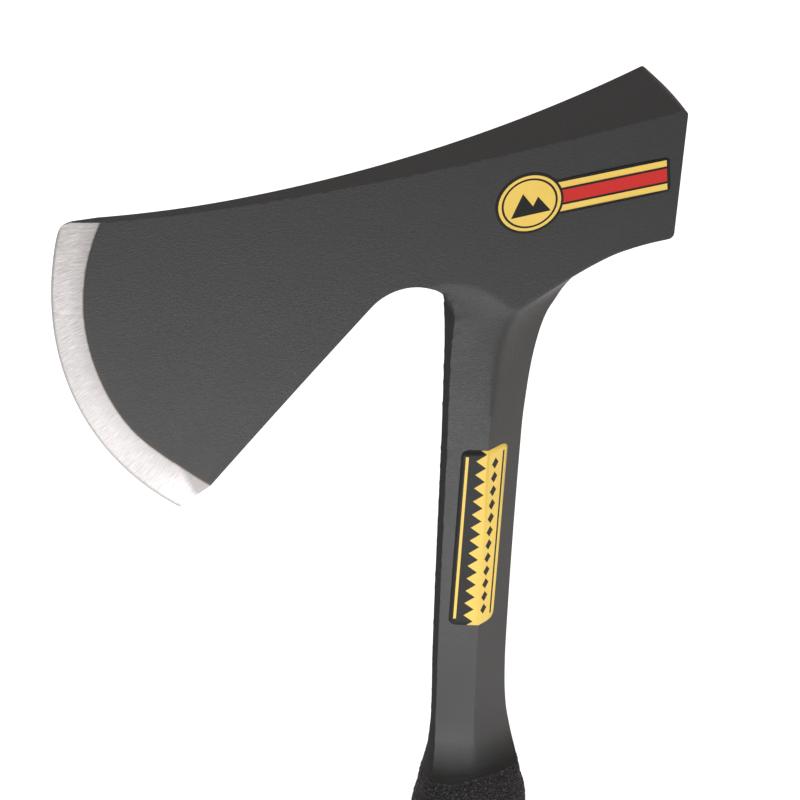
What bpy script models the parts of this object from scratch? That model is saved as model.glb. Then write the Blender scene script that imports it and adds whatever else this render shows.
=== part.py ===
"""A steel camper's axe: head, neck and tang forged in one piece, a moulded grip, and two stick-on films.

Frame: metres, +Z up along the handle with the head on top, the edge towards -X and the poll towards +X.
The origin is on the handle's line, in the flat end of the grip. Heights on the head and the neck are given as
drops below the top corner of the poll, because the head keeps its size when the handle gets longer.
"""

import math

import bmesh
import bpy
import numpy as np
from mathutils import Matrix

MM = 0.001

# Driving dimensions, in millimetres
TOTAL_LENGTH = 412.0      # flat end of the grip to the top corner of the poll
GRIP_LENGTH = 165.0       # flat end of the grip to its top rim
CLEARANCE = 0.3           # gap between neighbouring pieces

POLL_X = 48.3             # striking face
POLL_HEIGHT = 40.0
POLL_HALF = 13.0          # half thickness at the striking face
POLL_TOP_RADIUS = 1.5
POLL_BOTTOM_RADIUS = 2.4
POLL_UNDERSIDE = ((35.0, 42.2), (40.0, 41.2))  # x and drop of two points behind the bottom corner

EDGE_RADIUS = 97.8        # cutting edge, an arc seen from the side
EDGE_CENTRE_X = -22.7
EDGE_CENTRE_DROP = 37.5
EDGE_HALF = 0.2           # half of the narrow land that the cutting edge keeps
BEVEL_REACH = (-12.0, 4.0)  # the bevel's cutter spans this much about the cutting edge, across the bevel
BEVEL_CUTTER_HALF = 8.0   # and is this thick
TOE_RADIUS = 4.0
TOE_RUN_IN = 1.0          # the top line stops this far behind the middle of the toe's rounding
TOE_RUN_OUT = 2.0         # and the cutting edge's arc starts this far below it
BEVEL_SLOPE = 0.155       # the ground bevel thickens by this much for each millimetre of depth
BLADE_HALF = 1.35         # half thickness just behind the bevel
BLADE_FLAT_X = -110.0     # the cheeks start to swell from here
CHEEK_POWER = 2.2

TOP_LOW_X = -70.0         # lowest point of the hollow top line
TOP_LOW_DROP = 12.8
TOP_BEND_POLL = 0.00092   # parabola factors, per millimetre
TOP_BEND_BLADE = 0.0015
TOP_FLAT = 8.0            # straight stretch of the top line beside the poll's corner

BEARD_SLOPE = 1.09        # underside of the blade, millimetres down for each one towards the edge
ARCH_RADIUS = 13.8        # tight arch between the blade and the neck
ARCH_TOP_DROP = 46.0

NECK_FRONT_X = -11.6
NECK_REAR_X = 11.4
NECK_FRONT_HALF = 2.3
NECK_REAR_HALF = 2.0
NECK_RIDGE_HALF = 6.45
FLARE_LENGTH = 30.0       # the neck widens over this length to meet the grip
REAR_SWELL_LENGTH = 12.0  # its narrow back starts to swell this far above the flare
VERTEX_DROP = 60.0        # the facets' creases meet here, over the ridge
SETTLE_LENGTH = 21.0      # and the ridge comes down from the cheek to the neck's thickness over this length
CREASE_LIFT = 0.6         # the front cutter stays this far off the cheek above the arch

TANG_X = 2.0              # middle of the tang and of the grip
TANG_WIDTH = 20.0
TANG_HALF = 3.5
TANG_END_HEIGHT = 16.0
TANG_RUN_IN = 2.0         # the tang's block reaches this far up into the neck
LOCK_HOLE_RADIUS = 3.6
LOCK_HOLE_HEIGHTS = (58.0, 112.0)

GRIP_TOP_HALF_WIDTH = 17.2
GRIP_TOP_HALF_THICKNESS = 9.8
GRIP_PALM_HALF_WIDTH = 16.4
GRIP_PALM_HALF_THICKNESS = 12.8
GRIP_SECTION_POWER = 2.6
GRIP_SIDES = 40
GRIP_SHARP_ANGLE = 35.0   # degrees from which an edge of the grip is shaded sharp

FILM_THICKNESS = 0.3
FILM_MARGIN = 2.0         # a film's blank reaches this far past its outline
BAND_MARGIN = 1.3         # and this far past the end of the badge's band, short of the poll's face
HEAD_DECAL_X = 7.0        # middle of the badge's disc
HEAD_DECAL_DROP = 24.0
HEAD_DECAL_RADIUS = 9.4
HEAD_DECAL_LENGTH = 38.5  # from the disc's middle to the end of the band
HEAD_DECAL_TILT = 7.0     # degrees that the band rises towards the poll
HEAD_DECAL_OPENING = 35.0  # degrees of the disc on each side of the band's line that the band covers
NECK_LABEL_TOP_DROP = 106.0
NECK_LABEL_LENGTH = 69.0
NECK_LABEL_FRONT_X = -9.2
NECK_LABEL_REAR_X = 6.6
NECK_LABEL_RADIUS = 3.0

FAR = 40.0                # reach of a cutter past the piece that it cuts
BLANK_MARGIN = 5.0        # and of the forging's blanks past each other


def height(drop):
    """Height above the origin of a place given as a drop below the poll's top corner."""
    return TOTAL_LENGTH - drop


def cheek_half(x):
    """Half thickness of the head: constant behind the bevel, then a power curve that swells to the poll."""
    share = np.clip((np.asarray(x, float) - BLADE_FLAT_X) / (POLL_X - BLADE_FLAT_X), 0.0, None)
    return BLADE_HALF + (POLL_HALF - BLADE_HALF) * share**CHEEK_POWER


def top_drop(x):
    """Drop of the head's top line: two parabolas that share their lowest point."""
    bend = TOP_BEND_POLL if x > TOP_LOW_X else TOP_BEND_BLADE
    return TOP_LOW_DROP - bend * (x - TOP_LOW_X) ** 2


def arc(centre_x, centre_z, radius, start, end, count):
    """Points along a circle in the side view, from one angle to another, in degrees from +X towards +Z."""
    angles = np.radians(np.linspace(start, end, count))
    return [(centre_x + radius * math.cos(a), centre_z + radius * math.sin(a)) for a in angles]


# Front facet of the neck: drop, x and half thickness at the front flat, x at the ridge or the cheek
FRONT_FACET = (
    (45.5, -20.5, 5.3, -8.0),
    (47.7, -18.6, 4.4, -10.0),
    (51.5, -14.5, 4.5, -3.7),
    (55.0, -12.8, 4.4, 1.0),
    (60.0, -11.7, 4.0, 4.5),
    (65.0, NECK_FRONT_X, 3.3, 2.4),
    (71.0, NECK_FRONT_X, 2.7, 1.0),
    (81.0, NECK_FRONT_X, NECK_FRONT_HALF, 0.0),
)
# Rear facet: drop, x where it meets the ridge or the cheek, x and half thickness at the narrow back
REAR_FACET = (
    (45.3, 28.2, 30.7, 8.4),
    (49.4, 21.0, 25.8, 6.0),
    (53.8, 14.4, 22.3, 4.0),
    (58.0, 8.0, 20.2, 2.6),
    (60.0, 4.5, 19.0, 2.2),
    (65.0, 2.4, 16.6, NECK_REAR_HALF),
    (71.0, 1.0, 14.7, NECK_REAR_HALF),
    (81.0, 0.0, 13.1, NECK_REAR_HALF),
    (91.0, 0.0, 12.2, NECK_REAR_HALF),
    (104.0, 0.0, NECK_REAR_X, NECK_REAR_HALF),
)
# The flare: share of its length, then front x and half, ridge x and half, rear x and half
FLARE = (
    (0.00, NECK_FRONT_X, NECK_FRONT_HALF, 0.0, NECK_RIDGE_HALF, 12.4, NECK_REAR_HALF),
    (0.45, NECK_FRONT_X - 0.4, 2.9, 0.3, 7.2, 15.2, 3.0),
    (0.80, NECK_FRONT_X - 1.3, 4.2, 0.8, 8.3, 17.3, 5.0),
    (1.00, NECK_FRONT_X - 2.0, 5.3, 1.0, 9.0, 18.1, 6.0),
)
NECK_STRAIGHT_END = TOTAL_LENGTH - GRIP_LENGTH - FLARE_LENGTH - REAR_SWELL_LENGTH
# The rear facet's first section, under the poll: drop, then x and half thickness at the cheek and at the back
UNDER_POLL = (42.2, 33.0, 11.6, 36.5, 11.4)
FACET_REACH = 8.0         # a facet cutter runs this far past both ends of its line
CUTTER_TAIL = 2.0         # and this far below its last section


def ridge_half(drop, x):
    """Half thickness on the neck's ridge: the cheek's at the top, settling to the neck's own lower down."""
    settle = min(max((drop - VERTEX_DROP) / SETTLE_LENGTH, 0.0), 1.0)
    return float(cheek_half(x)) * (1 - settle) + NECK_RIDGE_HALF * settle


def flare_rows():
    """The flare's sections as (drop, front x, front half, ridge x, ridge half, rear x, rear half)."""
    start = TOTAL_LENGTH - GRIP_LENGTH - FLARE_LENGTH
    return [(start + share * FLARE_LENGTH, *row) for share, *row in FLARE]


def new_material(name, colour, roughness, metallic):
    """A plain Principled material."""
    material = bpy.data.materials.new(name)
    material.use_nodes = True
    shader = material.node_tree.nodes["Principled BSDF"]
    shader.inputs["Base Color"].default_value = (*colour, 1.0)
    shader.inputs["Roughness"].default_value = roughness
    shader.inputs["Metallic"].default_value = metallic
    return material


def new_collection(name):
    """A collection linked to the scene."""
    collection = bpy.data.collections.new(name)
    bpy.context.scene.collection.children.link(collection)
    return collection


def keep(obj, collection):
    """Moves an object into one collection only."""
    for old in list(obj.users_collection):
        old.objects.unlink(obj)
    collection.objects.link(obj)
    return obj


def as_cutter(obj):
    """Hides a helper solid from the model."""
    obj.hide_render = True
    obj.display_type = "WIRE"
    return keep(obj, CUTTERS)


def prism(name, outline, low, high, side_view):
    """A flat outline given thickness: (x, z) points are thick along Y, and (x, y) points along Z."""
    curve = bpy.data.curves.new(name, "CURVE")
    curve.dimensions = "2D"
    curve.fill_mode = "BOTH"
    curve.extrude = (high - low) / 2 * MM
    spline = curve.splines.new("POLY")
    spline.points.add(len(outline) - 1)
    for point, (a, b) in zip(spline.points, outline):
        point.co = (a * MM, b * MM, 0.0, 1.0)
    spline.use_cyclic_u = True
    flat = bpy.data.objects.new(name + "_outline", curve)
    middle = (low + high) / 2 * MM
    if side_view:
        # turning about X sends the outline's own normal to -Y
        flat.matrix_world = Matrix.Translation((0, middle, 0)) @ Matrix.Rotation(math.pi / 2, 4, "X")
    else:
        flat.matrix_world = Matrix.Translation((0, 0, middle))
    bpy.context.scene.collection.objects.link(flat)
    bpy.context.view_layer.update()
    mesh = bpy.data.meshes.new_from_object(flat.evaluated_get(bpy.context.evaluated_depsgraph_get()))
    place = flat.matrix_world.copy()
    bpy.data.objects.remove(flat)
    edit = bmesh.new()
    edit.from_mesh(mesh)
    bmesh.ops.remove_doubles(edit, verts=edit.verts, dist=1e-6)
    bmesh.ops.recalc_face_normals(edit, faces=edit.faces)
    edit.to_mesh(mesh)
    edit.free()
    solid = bpy.data.objects.new(name, mesh)
    solid.matrix_world = place
    bpy.context.scene.collection.objects.link(solid)
    return solid


def loft(name, rings):
    """A closed skin through unlike sections: rings of equally many points, and a cap on each end."""
    edit = bmesh.new()
    rows = [[edit.verts.new([c * MM for c in point]) for point in ring] for ring in rings]
    for lower, upper in zip(rows, rows[1:]):
        for i in range(len(lower)):
            j = (i + 1) % len(lower)
            edit.faces.new((lower[i], lower[j], upper[j], upper[i]))
    edit.faces.new(rows[0])
    edit.faces.new(rows[-1])
    bmesh.ops.triangulate(edit, faces=edit.faces[:])
    bmesh.ops.recalc_face_normals(edit, faces=edit.faces[:])
    mesh = bpy.data.meshes.new(name)
    edit.to_mesh(mesh)
    edit.free()
    solid = bpy.data.objects.new(name, mesh)
    bpy.context.scene.collection.objects.link(solid)
    return solid


def cylinder(name, radius, length, x, z, sides=24):
    """A round bar along Y."""
    bpy.ops.mesh.primitive_cylinder_add(
        vertices=sides,
        radius=radius * MM,
        depth=length * MM,
        location=(x * MM, 0, z * MM),
        rotation=(math.pi / 2, 0, 0),
    )
    bar = bpy.context.object
    bar.name = name
    return bar


def box(name, low, high):
    """A block between two corners."""
    size = [(b - a) * MM for a, b in zip(low, high)]
    bpy.ops.mesh.primitive_cube_add(size=1.0, location=[(a + b) / 2 * MM for a, b in zip(low, high)])
    block = bpy.context.object
    block.name = name
    block.data.transform(Matrix.Diagonal((*size, 1.0)))
    return block


def combine(target, tool, operation):
    """An exact Boolean of two solids, with the tool kept as a hidden cutter."""
    modifier = target.modifiers.new(tool.name, "BOOLEAN")
    modifier.operation = operation
    modifier.solver = "EXACT"
    modifier.object = as_cutter(tool)


def heel_drop():
    """Drop of the heel, where the blade's straight underside runs into the cutting edge's arc."""
    x0, d0 = beard_tangent()
    # points (x0 - t, d0 + slope t) at the arc's radius from its centre
    u, v = x0 - EDGE_CENTRE_X, d0 - EDGE_CENTRE_DROP
    a = 1 + BEARD_SLOPE**2
    b = 2 * (BEARD_SLOPE * v - u)
    c = u * u + v * v - EDGE_RADIUS**2
    t = (-b + math.sqrt(b * b - 4 * a * c)) / (2 * a)
    return d0 + BEARD_SLOPE * t


def arch_centre():
    """Centre of the arch, as (x, drop): it is tangent to the neck's front."""
    return NECK_FRONT_X - ARCH_RADIUS, ARCH_TOP_DROP + ARCH_RADIUS


def beard_tangent():
    """Where the straight underside leaves the arch, as (x, drop)."""
    x, drop = arch_centre()
    tilt = math.atan(BEARD_SLOPE)
    return x - ARCH_RADIUS * math.sin(tilt), drop - ARCH_RADIUS * math.cos(tilt)


def head_outline():
    """Side view of the forging down to the tang's shoulder, anticlockwise from the poll's top corner."""
    points = []
    # poll's top corner, then the hollow top line towards the blade
    top_z = height(top_drop(POLL_X))
    points += arc(POLL_X - POLL_TOP_RADIUS, top_z - POLL_TOP_RADIUS, POLL_TOP_RADIUS, 0, 90, 5)
    toe_rise = EDGE_CENTRE_DROP - top_drop(-EDGE_RADIUS)
    toe_x = EDGE_CENTRE_X - math.sqrt(EDGE_RADIUS**2 - toe_rise**2) + TOE_RADIUS
    for x in np.linspace(POLL_X - TOP_FLAT, toe_x + TOE_RUN_IN, 20):
        points.append((float(x), height(top_drop(float(x)))))
    # rounded toe, then the cutting edge down to the heel
    toe_z = height(top_drop(toe_x)) - TOE_RADIUS
    points += arc(toe_x, toe_z, TOE_RADIUS, 80, 170, 6)
    centre_z = height(EDGE_CENTRE_DROP)
    start = 180 - math.degrees(math.asin((toe_z - TOE_RUN_OUT - centre_z) / EDGE_RADIUS))
    end = 180 + math.degrees(math.asin((heel_drop() - EDGE_CENTRE_DROP) / EDGE_RADIUS))
    points += arc(EDGE_CENTRE_X, centre_z, EDGE_RADIUS, start, end, 40)
    # arch between the blade's underside and the neck
    arch_x, arch_drop = arch_centre()
    tangent = 90 + math.degrees(math.atan(BEARD_SLOPE))
    points += arc(arch_x, height(arch_drop), ARCH_RADIUS, tangent, 0, 16)
    # neck's front, flare, tang's shoulder, and back up the rear
    flare = flare_rows()
    points += [(row[1], height(row[0])) for row in flare[:-1]]
    shoulder = GRIP_LENGTH + CLEARANCE
    points += [(flare[-1][1], shoulder), (flare[-1][5], shoulder)]
    points += [(row[5], height(row[0])) for row in reversed(flare[:-1])]
    points.append((NECK_REAR_X, height(NECK_STRAIGHT_END)))
    points += [(x, height(drop)) for drop, _, x, _ in reversed(REAR_FACET)]
    # poll's underside and bottom corner
    points += [(x, height(drop)) for x, drop in POLL_UNDERSIDE]
    bottom_z = height(POLL_HEIGHT)
    points += arc(POLL_X - POLL_BOTTOM_RADIUS, bottom_z + POLL_BOTTOM_RADIUS, POLL_BOTTOM_RADIUS, -80, 0, 5)
    return points


def cheek_outline():
    """Plan view of the head: both cheeks, mirrored about the middle plane."""
    toe_side = [(EDGE_CENTRE_X - EDGE_RADIUS - BLANK_MARGIN, BLADE_HALF)]
    xs = np.linspace(BLADE_FLAT_X, POLL_X + 0.5, 20)
    near = toe_side + [(float(x), float(h)) for x, h in zip(xs, cheek_half(xs))]
    return [(x, -h) for x, h in near] + [(x, h) for x, h in reversed(near)]


def facet_section(x_a, half_a, x_b, half_b, drop, side):
    """One section of a facet cutter: all that lies outside a line through two points of the section."""
    rise = FACET_REACH * (half_b - half_a) / (x_b - x_a)
    left, right = x_a - FACET_REACH, x_b + FACET_REACH
    corners = [(left, half_a - rise), (right, half_b + rise), (right, FAR), (left, FAR)]
    return [(x, side * y, height(drop)) for x, y in corners]


def front_cutter(side):
    """Cuts the flat facet between the neck's front and its ridge, on one side."""
    rings = []
    for drop, x, half, ridge_x in FRONT_FACET:
        lift = CREASE_LIFT if drop < ARCH_TOP_DROP else 0.0
        rings.append(facet_section(x, half, ridge_x, ridge_half(drop, ridge_x) + lift, drop, side))
    for drop, x, half, ridge_x, ridge, _, _ in flare_rows():
        rings.append(facet_section(x, half, ridge_x, ridge, drop, side))
    rings.append([(x, y, z - CUTTER_TAIL) for x, y, z in rings[-1]])
    return loft("front_facet", rings)


def rear_cutter(side):
    """Cuts the flat facet between the neck's ridge and its narrow back, on one side."""
    start_drop, *start_line = UNDER_POLL
    rings = [facet_section(*start_line, start_drop, side)]
    for drop, ridge_x, x, half in REAR_FACET:
        rings.append(facet_section(ridge_x, ridge_half(drop, ridge_x), x, half, drop, side))
    rings.append(facet_section(0.0, NECK_RIDGE_HALF, NECK_REAR_X, NECK_REAR_HALF, NECK_STRAIGHT_END, side))
    for drop, _, _, ridge_x, ridge, x, half in flare_rows():
        rings.append(facet_section(ridge_x, ridge, x, half, drop, side))
    rings.append([(x, y, z - CUTTER_TAIL) for x, y, z in rings[-1]])
    return loft("rear_facet", rings)


def bevel_cutter(side):
    """Cuts the ground bevel: the space outside a shallow cone about the edge's centre, as a fan of sections.

    Each section is a triangle in (distance from the centre, y): the bevel's line and a corner outside it.
    """
    inner, outer = (EDGE_RADIUS + reach for reach in BEVEL_REACH)
    line = [(r, EDGE_HALF + BEVEL_SLOPE * (EDGE_RADIUS - r)) for r in (inner, outer)]
    profile = line + [(outer, BEVEL_CUTTER_HALF), (inner, BEVEL_CUTTER_HALF)]
    centre_z = height(EDGE_CENTRE_DROP)
    rings = []
    for angle in np.radians(np.linspace(150, 240, 46)):
        cos, sin = math.cos(angle), math.sin(angle)
        rings.append([(EDGE_CENTRE_X + r * cos, side * y, centre_z + r * sin) for r, y in profile])
    return loft("bevel", rings)


def tang_block(name, margin):
    """The tang as a block, grown by a margin on every side but its top."""
    return box(
        name,
        (TANG_X - TANG_WIDTH / 2 - margin, -TANG_HALF - margin, TANG_END_HEIGHT - margin),
        (TANG_X + TANG_WIDTH / 2 + margin, TANG_HALF + margin, GRIP_LENGTH + TANG_RUN_IN),
    )


def make_forging():
    """Head, neck and tang in one steel forging."""
    blank_half = POLL_HALF + BLANK_MARGIN
    forging = keep(prism("axe_forging", head_outline(), -blank_half, blank_half, True), PARTS)
    low, high = GRIP_LENGTH - BLANK_MARGIN, TOTAL_LENGTH + BLANK_MARGIN
    combine(forging, prism("cheeks", cheek_outline(), low, high, False), "INTERSECT")
    for side in (-1, 1):
        combine(forging, front_cutter(side), "DIFFERENCE")
        combine(forging, rear_cutter(side), "DIFFERENCE")
        combine(forging, bevel_cutter(side), "DIFFERENCE")
    combine(forging, tang_block("tang", 0.0), "UNION")
    for z in LOCK_HOLE_HEIGHTS:
        combine(forging, cylinder("lock_hole", LOCK_HOLE_RADIUS, FAR, TANG_X, z), "DIFFERENCE")
    forging.data.materials.append(new_material("black_steel", (0.06, 0.062, 0.064), 0.42, 0.0))


# Grip sections: height as a share of the grip, middle x, half width and half thickness
GRIP_SECTIONS = (
    (0.000, -3.6, 22.0, 11.4),
    (0.012, -3.8, 23.4, 12.6),
    (0.050, -3.6, 23.6, 13.2),
    (0.100, -2.2, 21.4, 13.1),
    (0.170, -0.2, 18.4, GRIP_PALM_HALF_THICKNESS),
    (0.260, 1.0, GRIP_PALM_HALF_WIDTH + 0.4, GRIP_PALM_HALF_THICKNESS),
    (0.400, 1.6, GRIP_PALM_HALF_WIDTH, GRIP_PALM_HALF_THICKNESS + 0.2),
    (0.560, 2.0, GRIP_PALM_HALF_WIDTH, GRIP_PALM_HALF_THICKNESS + 0.1),
    (0.700, 2.4, GRIP_PALM_HALF_WIDTH + 0.8, GRIP_PALM_HALF_THICKNESS),
    (0.800, 2.7, 18.6, 12.5),
    (0.880, 2.7, 19.9, 12.0),
    (0.935, 2.6, GRIP_TOP_HALF_WIDTH + 2.2, GRIP_TOP_HALF_THICKNESS + 1.4),
    (0.970, 2.4, GRIP_TOP_HALF_WIDTH + 1.0, GRIP_TOP_HALF_THICKNESS + 0.6),
    (1.000, 2.2, GRIP_TOP_HALF_WIDTH, GRIP_TOP_HALF_THICKNESS),
)


def grip_ring(share, middle, half_width, half_thickness):
    """One section of the grip: a superellipse, flatter than an ellipse on its sides."""
    angles = np.linspace(0, 2 * math.pi, GRIP_SIDES, endpoint=False)
    power = 2 / GRIP_SECTION_POWER
    x = middle + half_width * np.sign(np.cos(angles)) * np.abs(np.cos(angles)) ** power
    y = half_thickness * np.sign(np.sin(angles)) * np.abs(np.sin(angles)) ** power
    return [(float(a), float(b), share * GRIP_LENGTH) for a, b in zip(x, y)]


def make_grip():
    """Moulded grip: a lofted sleeve with a pocket for the tang, and posts that fill the tang's holes."""
    grip = keep(loft("grip", [grip_ring(*row) for row in GRIP_SECTIONS]), PARTS)
    pocket = tang_block("tang_pocket", CLEARANCE)
    for z in LOCK_HOLE_HEIGHTS:
        combine(pocket, cylinder("lock_post", LOCK_HOLE_RADIUS - CLEARANCE, FAR, TANG_X, z), "DIFFERENCE")
    combine(grip, pocket, "DIFFERENCE")
    grip.data.shade_smooth()
    grip.data.set_sharp_from_angle(angle=math.radians(GRIP_SHARP_ANGLE))
    grip.data.materials.append(new_material("black_vinyl", (0.03, 0.03, 0.032), 0.7, 0.0))


def film_plan(xs, halves):
    """Plan view of a film on the near side: a strip of even thickness, a clearance in front of the steel."""
    inner = [(float(x), -float(h) - CLEARANCE) for x, h in zip(xs, halves)]
    outer = [(x, y - FILM_THICKNESS) for x, y in inner]
    return inner + outer[::-1]


def make_head_decal():
    """Plain badge on the near cheek: a disc, and a straight band that rises from it towards the poll."""
    tilt, opening = math.radians(HEAD_DECAL_TILT), HEAD_DECAL_OPENING
    middle_z = height(HEAD_DECAL_DROP)
    half = HEAD_DECAL_RADIUS * math.sin(math.radians(opening))
    end_x = HEAD_DECAL_X + HEAD_DECAL_LENGTH * math.cos(tilt)
    end_z = middle_z + HEAD_DECAL_LENGTH * math.sin(tilt)
    start, stop = HEAD_DECAL_TILT + opening, HEAD_DECAL_TILT + 360 - opening
    outline = arc(HEAD_DECAL_X, middle_z, HEAD_DECAL_RADIUS, start, stop, 14)
    across_x, across_z = -half * math.sin(tilt), half * math.cos(tilt)
    outline += [(end_x + side * across_x, end_z + side * across_z) for side in (-1, 1)]
    reach = HEAD_DECAL_RADIUS + FILM_MARGIN
    xs = np.linspace(HEAD_DECAL_X - reach, end_x + BAND_MARGIN, 16)
    low, high = middle_z - reach, middle_z + reach
    decal = keep(prism("head_decal", film_plan(xs, cheek_half(xs)), low, high, False), PARTS)
    combine(decal, prism("head_decal_shape", outline, -FAR, FAR, True), "INTERSECT")
    decal.data.materials.append(new_material("head_film", (0.76, 0.55, 0.10), 0.35, 0.0))


def make_neck_label():
    """Long label with round corners, folded over the neck's ridge on the near side."""
    xs = [NECK_LABEL_FRONT_X - FILM_MARGIN, 0.0, NECK_LABEL_REAR_X + FILM_MARGIN]
    front_slope = (NECK_RIDGE_HALF - NECK_FRONT_HALF) / -NECK_FRONT_X
    rear_slope = (NECK_RIDGE_HALF - NECK_REAR_HALF) / NECK_REAR_X
    halves = [NECK_RIDGE_HALF + front_slope * xs[0], NECK_RIDGE_HALF, NECK_RIDGE_HALF - rear_slope * xs[2]]
    top, bottom = height(NECK_LABEL_TOP_DROP), height(NECK_LABEL_TOP_DROP + NECK_LABEL_LENGTH)
    low, high = bottom - FILM_MARGIN, top + FILM_MARGIN
    label = keep(prism("neck_label", film_plan(xs, halves), low, high, False), PARTS)
    r = NECK_LABEL_RADIUS
    left, right = NECK_LABEL_FRONT_X, NECK_LABEL_REAR_X
    outline = arc(right - r, top - r, r, 0, 90, 5) + arc(left + r, top - r, r, 90, 180, 5)
    outline += arc(left + r, bottom + r, r, 180, 270, 5) + arc(right - r, bottom + r, r, 270, 360, 5)
    combine(label, prism("neck_label_shape", outline, -FAR, FAR, True), "INTERSECT")
    label.data.materials.append(new_material("neck_film", (0.76, 0.55, 0.10), 0.35, 0.0))


for leftover in list(bpy.data.objects):
    bpy.data.objects.remove(leftover)
PARTS = new_collection("campers_axe")
CUTTERS = new_collection("cutters")
make_forging()
make_grip()
make_head_decal()
make_neck_label()
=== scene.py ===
import math

import bmesh
import bpy
import numpy as np
from bpy.props import FloatProperty, FloatVectorProperty, IntProperty, PointerProperty
from mathutils import Matrix, Vector
from mathutils.geometry import delaunay_2d_cdt


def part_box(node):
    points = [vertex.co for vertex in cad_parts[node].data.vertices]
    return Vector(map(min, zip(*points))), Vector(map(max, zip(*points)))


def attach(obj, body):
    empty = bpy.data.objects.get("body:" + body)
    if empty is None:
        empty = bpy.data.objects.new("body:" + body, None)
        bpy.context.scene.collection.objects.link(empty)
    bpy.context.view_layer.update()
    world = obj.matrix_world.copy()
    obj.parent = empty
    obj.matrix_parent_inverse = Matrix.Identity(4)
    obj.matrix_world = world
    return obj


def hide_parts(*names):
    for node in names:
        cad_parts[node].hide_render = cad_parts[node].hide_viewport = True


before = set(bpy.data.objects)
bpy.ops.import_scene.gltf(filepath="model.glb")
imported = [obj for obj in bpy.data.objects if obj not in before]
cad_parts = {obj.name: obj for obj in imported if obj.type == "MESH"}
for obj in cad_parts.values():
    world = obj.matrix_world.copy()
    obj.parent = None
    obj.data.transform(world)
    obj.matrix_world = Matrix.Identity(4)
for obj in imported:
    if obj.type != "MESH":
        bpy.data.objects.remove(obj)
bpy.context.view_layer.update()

bl_info = {
    "name": "Camper's axe",
    "version": (1, 0, 0),
    "blender": (4, 5, 0),
    "location": "3D View > Sidebar > Axe",
    "description": "Builds the finished surfaces of a one-piece camper's axe around its plain solids",
    "category": "Object",
}

# Work is done in millimetres: +Z up the handle, the cutting edge towards -X, the films on the -Y side.
# Heights on the head and neck are drops below the poll's top corner.
MM = 0.001
FORGING_HIGH = np.array(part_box("axe_forging")[1]) / MM
GRIP_LOW, GRIP_HIGH = [np.array(corner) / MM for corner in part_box("grip")]
HEAD_TOP = float(FORGING_HIGH[2])
POLL_X = float(FORGING_HIGH[0])
POLL_HALF = float(FORGING_HIGH[1])
GRIP_TOP_DROP = HEAD_TOP - float(GRIP_HIGH[2])
GRIP_END_DROP = HEAD_TOP - float(GRIP_LOW[2])


# ------------------------------------------------------------ sizes and colours that a user would change


def length(name, description, default):
    """A size in metres."""
    return FloatProperty(name=name, description=description, default=default, unit="LENGTH", precision=5)


def share(name, description, default):
    """A number from 0 to 1."""
    return FloatProperty(name=name, description=description, default=default, min=0.0, max=1.0,
                         subtype="FACTOR")


def colour(name, description, default):
    """A linear colour."""
    return FloatVectorProperty(name=name, description=description, default=default, size=3,
                               subtype="COLOR", min=0.0, max=1.0)


class AXE_PG_head(bpy.types.PropertyGroup):
    """Sizes of the blade and the poll."""

    edge_radius: length("Edge radius", "Radius of the cutting edge, seen from the side", 0.0978)
    blade_half: length("Blade half thickness", "Half thickness just behind the ground bevel", 0.00135)
    arch_radius: length("Arch radius", "Radius of the arch between the blade and the neck", 0.0138)
    poll_crown: length("Poll crown", "How far the middle of the striking face stands out", 0.0024)
    edge_round: length("Edge rounding", "Rounding of the forging's edges", 0.00028)
    flash: length("Flash", "How far the trimmed flash wanders along the edges", 0.00034)


class AXE_PG_neck(bpy.types.PropertyGroup):
    """Sizes of the neck."""

    hollow: length("Hollow", "How far the facets sink where they run out into the cheek", 0.0005)
    rows: IntProperty(name="Rows", description="Rows of faces down the neck", default=150, min=20)


class AXE_PG_grip(bpy.types.PropertyGroup):
    """Sizes of the moulded grip."""

    grain_depth: length("Grain depth", "Height of the moulded grain", 0.00016)
    grain_size: length("Grain size", "Distance between the lumps of the grain", 0.0009)
    groove_depth: length("Groove depth", "Depth of the grooves across the palm", 0.0009)
    section_power: FloatProperty(name="Section power", description="2 is an ellipse, more is squarer",
                                 default=2.6)


class AXE_PG_finish(bpy.types.PropertyGroup):
    """Colours and roughness of the materials."""

    paint: colour("Paint", "Matte black paint on the steel", (0.0135, 0.0140, 0.0143))
    paint_roughness: share("Paint roughness", "Roughness of the paint", 0.42)
    paint_shine: share("Paint shine", "Specular level of the paint", 0.36)
    steel: colour("Steel", "Bare ground steel", (0.375, 0.363, 0.36))
    tint: colour("Heat tint", "Tint that grinding leaves along the bevel's inner line", (0.15, 0.11, 0.07))
    vinyl: colour("Vinyl", "Moulded grip", (0.0125, 0.0118, 0.0116))
    yellow: colour("Yellow ink", "Yellow of the printed films", (0.70, 0.50, 0.11))
    red: colour("Red ink", "Red of the printed films", (0.48, 0.024, 0.021))
    black: colour("Black ink", "Black of the printed films", (0.012, 0.012, 0.012))


def set_size(group, name):
    """A size that the user sets, in millimetres."""
    return getattr(getattr(bpy.context.scene, group), name) / MM


# ------------------------------------------------------------ curves, tables and grids


def slopes(where, values):
    """End slopes for a cubic that never swings past its points: the harmonic mean of the chord slopes."""
    step = np.diff(where)[:, None]
    chord = np.diff(values, axis=0) / step
    before, after = chord[:-1], chord[1:]
    same = before * after > 0
    mean = np.where(same, 2 * before * after / np.where(same, before + after, 1.0), 0.0)
    return np.vstack([chord[:1], mean, chord[-1:]])


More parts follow.
